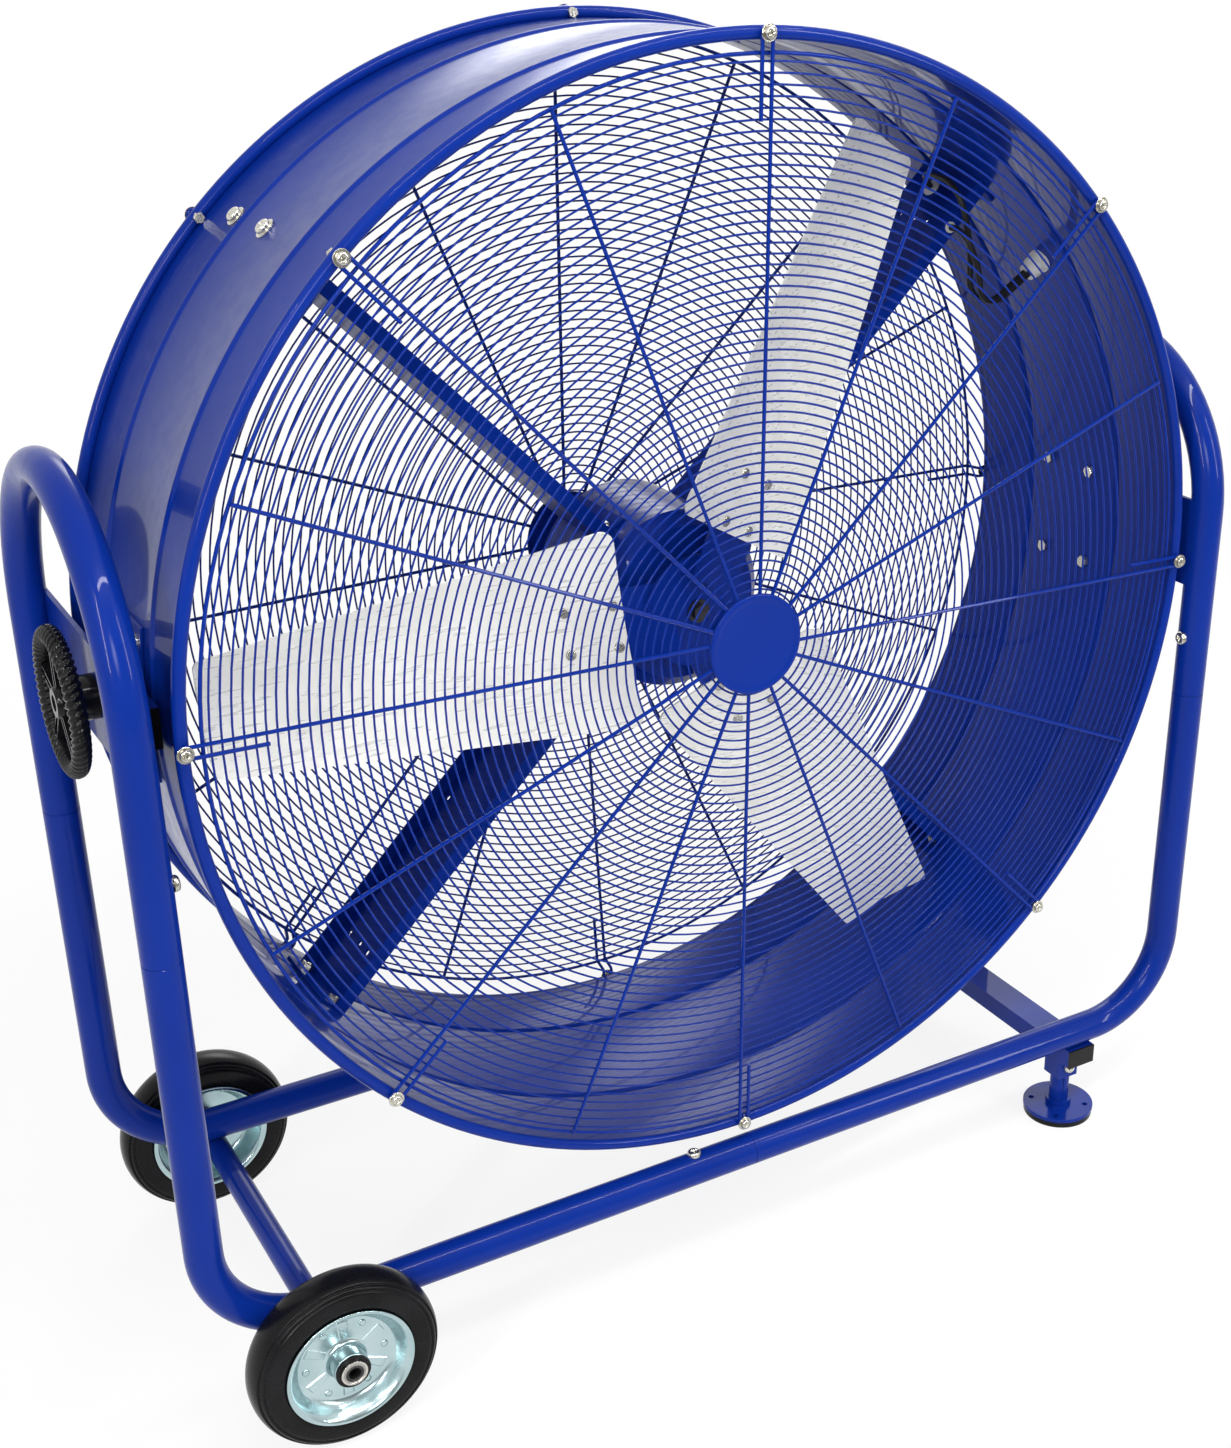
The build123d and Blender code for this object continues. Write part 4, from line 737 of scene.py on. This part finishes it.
def cap_profile(seat, way):
    """The cap's outline from the middle of its outside to the middle of its inside."""
    top = seat + way * cap_height
    sunk = top - way * cap_sunk
    middle_end, lip = cap_radius - cap_border, cap_radius - cap_sheet
    edge = [(cap_radius - cap_round + cap_round * sin(a), top - way * 2.0 * (1 - cos(a)))
            for a in quarter_arc]
    outer = [(0, sunk), (middle_end, sunk), (cap_radius - 7, top - way * 0.6), (cap_radius - 5.6, top)]
    inner = [(cap_radius, seat), (lip, seat), (lip, top - way * 2.0), (cap_radius - 4, top - way * cap_sheet),
             (middle_end, sunk - way * cap_sheet), (0, sunk - way * cap_sheet)]
    return outer + edge + inner


cap_seats = ((spoke_y - spoke_wire / 2 - 0.05, -1), (dish(inner_end) + spoke_wire / 2 + 0.1, 1))
cap_meshes = [smooth_mesh("cap", lambda shape: turned(
    shape, cap_profile(seat, way), drum_place, 96, closed=False)) for seat, way in cap_seats]
place_piece("pressed_caps", joined("pressed_caps", cap_meshes), blue_gloss, "drum", "blue_paint",
            "guard_caps")

# %% [markdown]
# ## Screws
# The screws are pan heads with a cross recess, most of them on plain washers, in bright zinc. One screw is
# turned, its recess is cut with a star, and the tree sets a copy on each seat with its own random turn, as a
# fitter leaves them.

# %% Screws
def star(shape, size, depth, top):
    """Two crossed wedges that cut a cross recess."""
    half, thin = size * mm, size * 0.2 * mm
    high, low = (top + 0.5) * mm, (top - depth) * mm
    for turn_angle in (0, pi / 2):
        spin = Matrix.Rotation(turn_angle, 4, "Z")
        upper, lower = ([shape.verts.new(spin @ Vector((x * half * a, y * thin * b, z))) for x, y in square]
                        for a, b, z in ((1, 1, high), (0.35, 0.6, low)))
        shape.faces.new(upper)
        shape.faces.new(lower[::-1])
        for k in range(4):
            n = (k + 1) % 4
            shape.faces.new((upper[n], upper[k], lower[k], lower[n]))


def screw_mesh(diameter, shank, washer=True, nut_depth=None):
    """A pan-head screw round +Z with its seat at 0, all sizes in mm, and its nut where there is one."""
    base = 0.25 * diameter if washer else 0.0
    head, height, washer_rim = diameter, 0.7 * diameter, 1.35 * diameter
    crown = [(head * (0.55 + 0.45 * cos(a)), base + height * (0.35 + 0.65 * sin(a))) for a in quarter_arc]
    profile = [(0, -shank), (diameter / 2 - 0.5, -shank), (diameter / 2, 0.5 - shank), (diameter / 2, 0)]
    if washer:
        profile += [(washer_rim, 0), (washer_rim, base - 0.3), (washer_rim - 0.3, base), (head, base)]
    else:
        profile += [(head, 0)]
    profile += crown + [(0, base + height)]
    at_origin = Matrix.Identity(4)
    body = smooth_mesh("screw", lambda shape: turned(shape, profile, at_origin, 20, closed=False))
    cutter = smooth_mesh("star", lambda shape: star(shape, 0.62 * diameter, 0.5 * diameter, base + height))
    screw, tool = (bpy.data.objects.new(mesh.name, mesh) for mesh in (body, cutter))
    for item in (screw, tool):
        scene.collection.objects.link(item)
    cut = screw.modifiers.new("recess", "BOOLEAN")
    cut.operation, cut.object, cut.solver, cut.use_self = "DIFFERENCE", tool, "EXACT", True
    parts = [kept_mesh(screw)]
    for item in (screw, tool):
        bpy.data.objects.remove(item)
    if nut_depth is not None:
        across, nut_end = 0.95 * diameter, -nut_depth - 0.8 * diameter
        outline = [(diameter / 2, -nut_depth), (across - 0.6, -nut_depth), (across, -nut_depth - 0.5),
                   (across, nut_end + 0.5), (across - 0.6, nut_end), (diameter / 2, nut_end)]
        parts.append(smooth_mesh("nut", lambda shape: turned(shape, outline, at_origin, 6), 25))
    return joined("screw", parts)


def fasteners(name, seats, one, body, node):
    """Sets one screw on every (place, outward) seat, in metres, and puts it in the scene."""
    base = bpy.data.meshes.new(name + "_seats")
    base.from_pydata([place for place, _ in seats], [], [])
    outward = base.attributes.new("outward", "FLOAT_VECTOR", "POINT")
    outward.data.foreach_set("vector", [c for _, way in seats for c in way])
    part = bpy.data.objects.new(name + "_one", one)
    mesh = grow(name, on_seats, {"Fastener": part, "Seed": 7, "Material": screw_zinc}, base)
    bpy.data.objects.remove(part)
    place_piece(name, mesh, screw_zinc, body, "zinc_plated", node)


def on_drum(radius, y, across, angle):
    """A point near the drum: its radius, its place along the axis and across, turned by degrees."""
    c, s = cos(radians(angle)), sin(radians(angle))
    return drum_centre + Vector((radius * c - across * s, y, radius * s + across * c)) * mm


def radial(angle):
    return Vector((cos(radians(angle)), 0, sin(radians(angle))))


guard_screw_y = 187.0
guard_seats = [(on_drum(curl_centre, way * guard_screw_y, 0, first + 360 / hairpin_count * k), (0, way, 0))
               for way, first in ((-1, front_turn), (1, rear_turn)) for k in range(hairpin_count)]
fasteners("guard_screw_set", guard_seats, screw_mesh(6, 22, nut_depth=17.3), "drum", "guard_screws")

arm_angles, arm_rows, row_across = (45, 135, 225, 315), (14.0, 98.0), -9.0
wall_seat_radius, motor_seat_radius, saddle_radius = 581.3, 103.3, 584.3
wall_seats, motor_seats = ([(on_drum(r, y, row_across, a), radial(a)) for a in arm_angles for y in arm_rows]
                           for r in (wall_seat_radius, motor_seat_radius))
fasteners("arm_wall_bolts", wall_seats, screw_mesh(8, 11, nut_depth=5.2), "drum", "arm_bolts")
fasteners("arm_motor_bolts", motor_seats, screw_mesh(8, 6.4, washer=False), "drum", "arm_bolts")

saddle_seats, saddle_y, saddle_z = [], 38, 58
for side in (-1, 1):
    for dy in (-saddle_y, saddle_y):
        for dz in (-saddle_z, saddle_z):
            angle = asin((dz + (pivot.z - drum_centre.z) / mm) / outer_radius) * 180 / pi
            angle = angle if side > 0 else 180 - angle
            saddle_seats.append((on_drum(saddle_radius, dy - drum_centre.y / mm, 0, angle), radial(angle)))
fasteners("saddle_bolts", saddle_seats, screw_mesh(8, 10.8, nut_depth=4.7), "drum", "bracket_bolts")

leg_x, tube_radius, loop_radius, rail_z = 629.0, 19.0, 186.0, 133.0


def on_frame(x, y, z):
    return Vector((x * mm + shift, y * mm, z * mm))


joint_z, screw_from_joint = 575.0, 74.0
joint_seats = [(on_frame(side * (leg_x - tube_radius), y, joint_z + screw_from_joint), (-side, 0, 0))
               for side in (-1, 1) for y in (-loop_radius, loop_radius)]
joint_seats += [(on_frame(-screw_from_joint, y, rail_z + tube_radius), (0, 0, 1))
                for y in (-loop_radius, loop_radius)]
fasteners("joint_screw_set", joint_seats, screw_mesh(8, 4, washer=False), "frame", "frame_joint_screws")
foot_screw = 492, 181, 73.5
foot_seats = [(on_frame(foot_screw[0], way * foot_screw[1], foot_screw[2]), (0, way, 0)) for way in (-1, 1)]
fasteners("foot_screw_set", foot_seats, screw_mesh(8, 5, washer=False), "frame", "foot_set_screws")

# %% [markdown]
# ## The tube frame
# The frame is round tube, bent on a former. Each loop slips over an inner sleeve at leg height, and the
# bottom rails meet in the middle, so every tube is a piece of its own with a small chamfer that shows as a
# seam.

# %% Tube frame
loop_z, rail_bend, seam = 800.0, 110.0, 0.7


def frame_tube(name, path, node):
    """A frame tube along points in mm, in place of its CAD node."""
    points = [on_frame(*p) for p in path]
    mesh = smooth_mesh("tube", lambda shape: swept(shape, points, tube_radius, 40, seam))
    place_piece(name, mesh, blue_gloss, "frame", "blue_paint", node)


for side, name in ((-1, "left"), (1, "right")):
    x = side * leg_x
    half_turn = [pi * k / 40 for k in range(41)]
    arch = [(x, -loop_radius * cos(a), loop_z + loop_radius * sin(a)) for a in half_turn]
    frame_tube("loop_tube_" + name, [(x, -loop_radius, joint_z), *arch, (x, loop_radius, joint_z)],
               "upper_loop_" + name)
    for way, depth in ((-1, "front"), (1, "rear")):
        y = way * loop_radius
        bend = rounded([(x, y, joint_z), (x, y, rail_z), (0, y, rail_z)], rail_bend, 22)
        frame_tube("corner_tube_%s_%s" % (depth, name), bend, "base_tube_%s_%s" % (depth, name))

# %% [markdown]
# ## The wheels
# A solid rubber tyre is pressed on a rim of two zinc-plated discs, riveted together. The outer disc flares to
# a polished lip. Flat ribs are pressed into it between the rivets, and the black bush stands out of the hub
# tube. Each profile lists (radius, place along the axle) with the outboard side negative, and its corners are
# then softened.

# %% Wheels
tyre_side = [(66.2, -19.5), (67.8, -22), (70.5, -23.1), (79, -22.9), (85.0, -22.5), (87.4, -21.9),
             (88.2, -20.3), (89.4, -20.1), (90.2, -21.2), (91.6, -20.7), (93.0, -19.2), (93.5, -17.1),
             (94.5, -16.9), (95.2, -17.6), (96.2, -16.4), (98.0, -12.6), (99.2, -8.4), (99.8, -4), (100, 0)]
tyre_profile = tyre_side + [(r, -y) for r, y in tyre_side[-2::-1]]
dish_profile = [(19.1, -13), (19.9, -9.2), (21.6, -7.2), (24.5, -6.1), (47, -6.0), (50, -6.6), (52.8, -8.6),
                (55.2, -12), (57.4, -16), (59.7, -20.2), (62.2, -23.4), (64.6, -25.1), (66.6, -25.5),
                (67.7, -25.0), (67.7, -23.6), (66.1, -22.5), (66.1, 0), (64.1, 0), (64.1, -12.5), (56, -6.5),
                (51, -4.2), (19.1, -4.0)]
back_profile = [(19.1, -3.9), (19.1, -1.9), (47, -1.9), (52, 2), (56, 10), (59.5, 19), (62.7, 25),
                (67.7, 25.4), (67.7, 23.4), (66.1, 22.5), (66.1, 0.2), (64.1, 0.2), (64.1, 13), (54, -1.6),
                (50.7, -3.9)]
hub_profile = [(16.6, -27), (17.4, -27.4), (18.6, -27), (19.0, -26), (19.0, 22), (16.6, 22)]


rivet_circle, disc_face, rivet_count = 42.0, -6.0, 6


def rib(shape):
    """A pressed rib from the hub to the dish, lying along +X at the outer disc's face."""
    inner, outer, inner_half, outer_half = 23.0, 47.0, 4.6, 6.2
    for inset, height in ((0.0, disc_face + 0.1), (1.2, disc_face - 0.9)):
        corners = [(inner + inset, -inner_half + inset), (outer - inset, -outer_half + inset),
                   (outer - inset, outer_half - inset), (inner + inset, inner_half - inset)]
        for r, across in corners:
            shape.verts.new(Vector((r, height, across)) * mm)
    shape.verts.ensure_lookup_table()
    low, high = shape.verts[:4], shape.verts[4:]
    shape.faces.new(low)
    shape.faces.new(high)
    for k in range(4):
        n = (k + 1) % 4
        shape.faces.new((low[k], low[n], high[n], high[k]))


rivet_profile = [(0, 0.4), (4, 0.4), (4, -0.3), (3.6, -0.9), (2.6, -1.35), (1.3, -1.5), (0, -1.5)]
lathe_to_axle = Matrix.Rotation(-pi / 2, 4, "X")
for turned_round, depth in ((0.0, "front"), (pi, "rear")):
    hub = middle(depth + "_wheel_tyre")
    outboard = Matrix.Translation(hub) @ Matrix.Rotation(turned_round, 4, "Z") @ lathe_to_axle
    tyre = smooth_mesh("tyre", lambda shape: turned(shape, softened(tyre_profile, 1), outboard, 128), 50)
    place_piece(depth + "_tyre", tyre, tyre_rubber, depth + "_wheel", "black_rubber", depth + "_wheel_tyre")
    discs = [smooth_mesh("disc", lambda shape: turned(shape, softened(profile), outboard, 256))
             for profile in (dish_profile, back_profile, hub_profile)]
    at_rivet = Matrix.Translation(Vector((rivet_circle, disc_face, 0)) * mm) @ lathe_to_axle
    one_rivet = smooth_mesh("rivet", lambda shape: turned(shape, rivet_profile, at_rivet, 18, closed=False))
    spin = (0.0, 0.0, turned_round)
    one_rib, between = smooth_mesh("rib", rib, 20), 180 / rivet_count
    discs.append(copies("wheel_rivets", one_rivet, rivet_count, 0, rim_zinc, hub, spin))
    discs.append(copies("wheel_ribs", one_rib, rivet_count, between, rim_zinc, hub, spin))
    place_piece(depth + "_rim", joined(depth + "_rim", discs), rim_zinc, depth + "_wheel", "zinc_plated",
                depth + "_wheel_rim")

# %% [markdown]
# ## The handwheel
# The tilt is clamped by a moulded black handwheel. Its rim has fine slanting ribs like a rope. They come from
# a wave that runs round the rim and round its section together. Each spoke is an open ladder.


# %% Handwheel
def grip_tree():
    """A ring whose surface rises and falls with slanting ribs."""
    nodes, given = start_tree("rope_grip", Float=["Ring Radius", "Grip Radius", "Rib Height"],
                              Int=["Ribs", "Slant"], Vector=["Centre"], Material=["Material"])
    ring, section = (nodes.geo("CurvePrimitiveCircle", {"Resolution": steps, "Radius": given[radius]})
                     for steps, radius in ((560, "Ring Radius"), (16, "Grip Radius")))
    mesh = nodes.geo("CurveToMesh", {"Curve": ring, "Profile Curve": section})
    place = nodes.geo("InputPosition")
    x, y, z = (nodes.split(place, axis) for axis in "XYZ")
    from_ring = nodes.math("SQRT", x * x + y * y) - given["Ring Radius"]
    round_rim, round_section = nodes.math("ARCTAN2", y, x), nodes.math("ARCTAN2", z, from_ring)
    wave = round_rim * given["Ribs"] + round_section * given["Slant"]
    rise = (nodes.math("ABSOLUTE", nodes.math("SINE", wave * 0.5)) * 2.0 - 1.0) * given["Rib Height"]
    offset = nodes.sh("VectorMath", {0: nodes.geo("InputNormal"), "Scale": rise}, operation="SCALE")
    mesh = nodes.geo("SetPosition", {"Geometry": mesh, "Offset": offset})
    mesh = nodes.geo("SetShadeSmooth", {"Geometry": mesh, "Shade Smooth": True})
    mesh = nodes.geo("Transform", {"Geometry": mesh, "Rotation": (0.0, pi / 2, 0.0),
                                   "Translation": given["Centre"]})
    return end_tree(nodes, mesh, given["Material"])


wheel_x, wheel_ring, grip_radius, boss_end, rib_height = 646.0, 65.0, 9.3, 639.0, 1.2
wheel_centre = Vector((shift - wheel_x * mm, pivot.y, pivot.z))
rim_mesh = grow("grip", grip_tree(), {
    "Ring Radius": wheel_ring * mm, "Grip Radius": (grip_radius - rib_height) * mm, "Ribs": 56, "Slant": 3,
    "Rib Height": rib_height * mm, "Centre": tuple(wheel_centre), "Material": black_plastic})


def bar(shape, low, high):
    """A box between two corners, in mm, with its edges rounded a little."""
    made = bmesh.ops.create_cube(shape, size=1.0)
    size, centre = (Vector(high) - Vector(low)) * mm, (Vector(high) + Vector(low)) * mm / 2
    place = Matrix.Translation(centre) @ Matrix.Diagonal((*size, 1))
    bmesh.ops.transform(shape, matrix=place, verts=made["verts"])
    edges = list({edge for vert in made["verts"] for edge in vert.link_edges})
    bmesh.ops.bevel(shape, geom=edges, offset=0.5 * mm, segments=2, affect="EDGES", clamp_overlap=True)


def ladder(shape):
    """A spoke along +X in the wheel's plane: two rails and four rungs."""
    rail_across, rail_half, rung_half = 4.2, 1.4, 1.5
    for z in (-rail_across, rail_across):
        bar(shape, (14, -4, z - rail_half), (58, 4, z + rail_half))
    for r in (21, 30, 39, 48):
        bar(shape, (r - rung_half, -2.5, -rail_across), (r + rung_half, 2.5, rail_across))


# The round tree turns about Y, so a quarter turn about Z brings that axis on to X.
spoke_count, quarter_turn = 5, (0.0, 0.0, pi / 2)
spokes = copies("spokes", smooth_mesh("ladder", ladder, 30), spoke_count, 90, black_plastic, wheel_centre,
                quarter_turn)
hub_reach, bore = wheel_x + grip_radius - 2 - boss_end, 8.1
hub_outline = [(bore, 0), (16.4, 0), (17, 0.6), (17, 9), (15.5, 11), (15, hub_reach - 1), (14, hub_reach),
               (bore, hub_reach)]
hub_start = Vector((shift - boss_end * mm, pivot.y, pivot.z))
hub_place = Matrix.Translation(hub_start) @ Matrix.Rotation(-pi / 2, 4, "Y")
hub_mesh = smooth_mesh("hub", lambda shape: turned(shape, hub_outline, hub_place, 48))
place_piece("clamp_handwheel", joined("clamp_handwheel", [rim_mesh, spokes, hub_mesh]), black_plastic,
            "handwheel", "black_plastic", "handwheel")

# %% [markdown]
# ## Parts that keep their CAD shape
# Brackets, arms, the motor, blades and feet are right as they come. A sheared or pressed edge is never razor
# sharp, so a tree joins their loose triangles and marks the real edges, and a bevel of a few tenths of a
# millimetre catches the light along them.

# %% Dress the CAD parts
def edge_tree():
    """Joins loose triangles and marks each edge that turns by more than an angle."""
    nodes, given = start_tree("join_and_mark_edges", Geometry=["Shape"], Float=["Angle"])
    whole = nodes.geo("MergeByDistance", {"Geometry": given["Shape"], "Distance": 0.004 * mm})
    sharp = nodes.geo("InputMeshEdgeAngle", output="Unsigned Angle") > given["Angle"]
    marked = nodes.geo("SetMeshNormal", {"Mesh": whole, "Remove Custom": True, "Edge Sharpness": sharp,
                                         "Face Sharpness": False}, mode="SHARPNESS")
    return end_tree(nodes, marked)


edges_marked = edge_tree()
mark_above, bevel_above = radians(28), radians(40)


def dress(finish, *names, edge=0.4):
    """Gives CAD nodes a material, smooth faces and a fine bevel."""
    for name in names:
        item = frame["nodes"][name]
        item.data.materials.clear()
        item.data.materials.append(finish)
        joiner = item.modifiers.new("join", "NODES")
        joiner.node_group = edges_marked
        set_inputs(joiner, {"Angle": mark_above})
        if edge:
            soft = item.modifiers.new("soft_edges", "BEVEL")
            soft.width, soft.segments = edge * mm, 2
            soft.limit_method, soft.angle_limit = "ANGLE", bevel_above
            soft.harden_normals = True


dress(blue_gloss, "pivot_plate_left", "pivot_plate_right", "pivot_bracket_left", "pivot_bracket_right",
      "axle_tube", "cross_member", "foot_front", "foot_rear", "motor_body", "motor_covers", "rotor_spider")
arms = ["motor_arm_%s_%s" % (row, side) for row in ("upper", "lower") for side in ("left", "right")]
# The arms get the thin-coat copy of the paint: painted shade inside the drum.
dress(blue_painted_shade, *arms)
for k in range(blade_count):
    dress(blade_metal[k], "blade_%d" % (k + 1))
dress(screw_zinc, "blade_rivets", "pivot_stud_left", "pivot_stud_right", "lock_nut", "joint_sleeves",
      edge=0.25)
dress(phosphate_steel, "hub_bolt", edge=0.25)
dress(bright_steel, "axle_spindle")
dress(black_plastic, "cross_member_caps", "bracket_caps", "clamp_boss", "front_wheel_bush",
      "rear_wheel_bush", "friction_discs", "lead_clips")
dress(tyre_rubber, "foot_pads", edge=1.0)
dress(lead_black, "motor_leads", edge=0)
dress(pale_plastic, "lead_glands")
dress(machined_steel, "motor_shaft", "motor_bearings", "motor_rotor_core")
dress(copper_steel, "motor_stator")
print("dressed", sum(1 for item in frame["nodes"].values() if item.modifiers), "parts in their CAD shape")
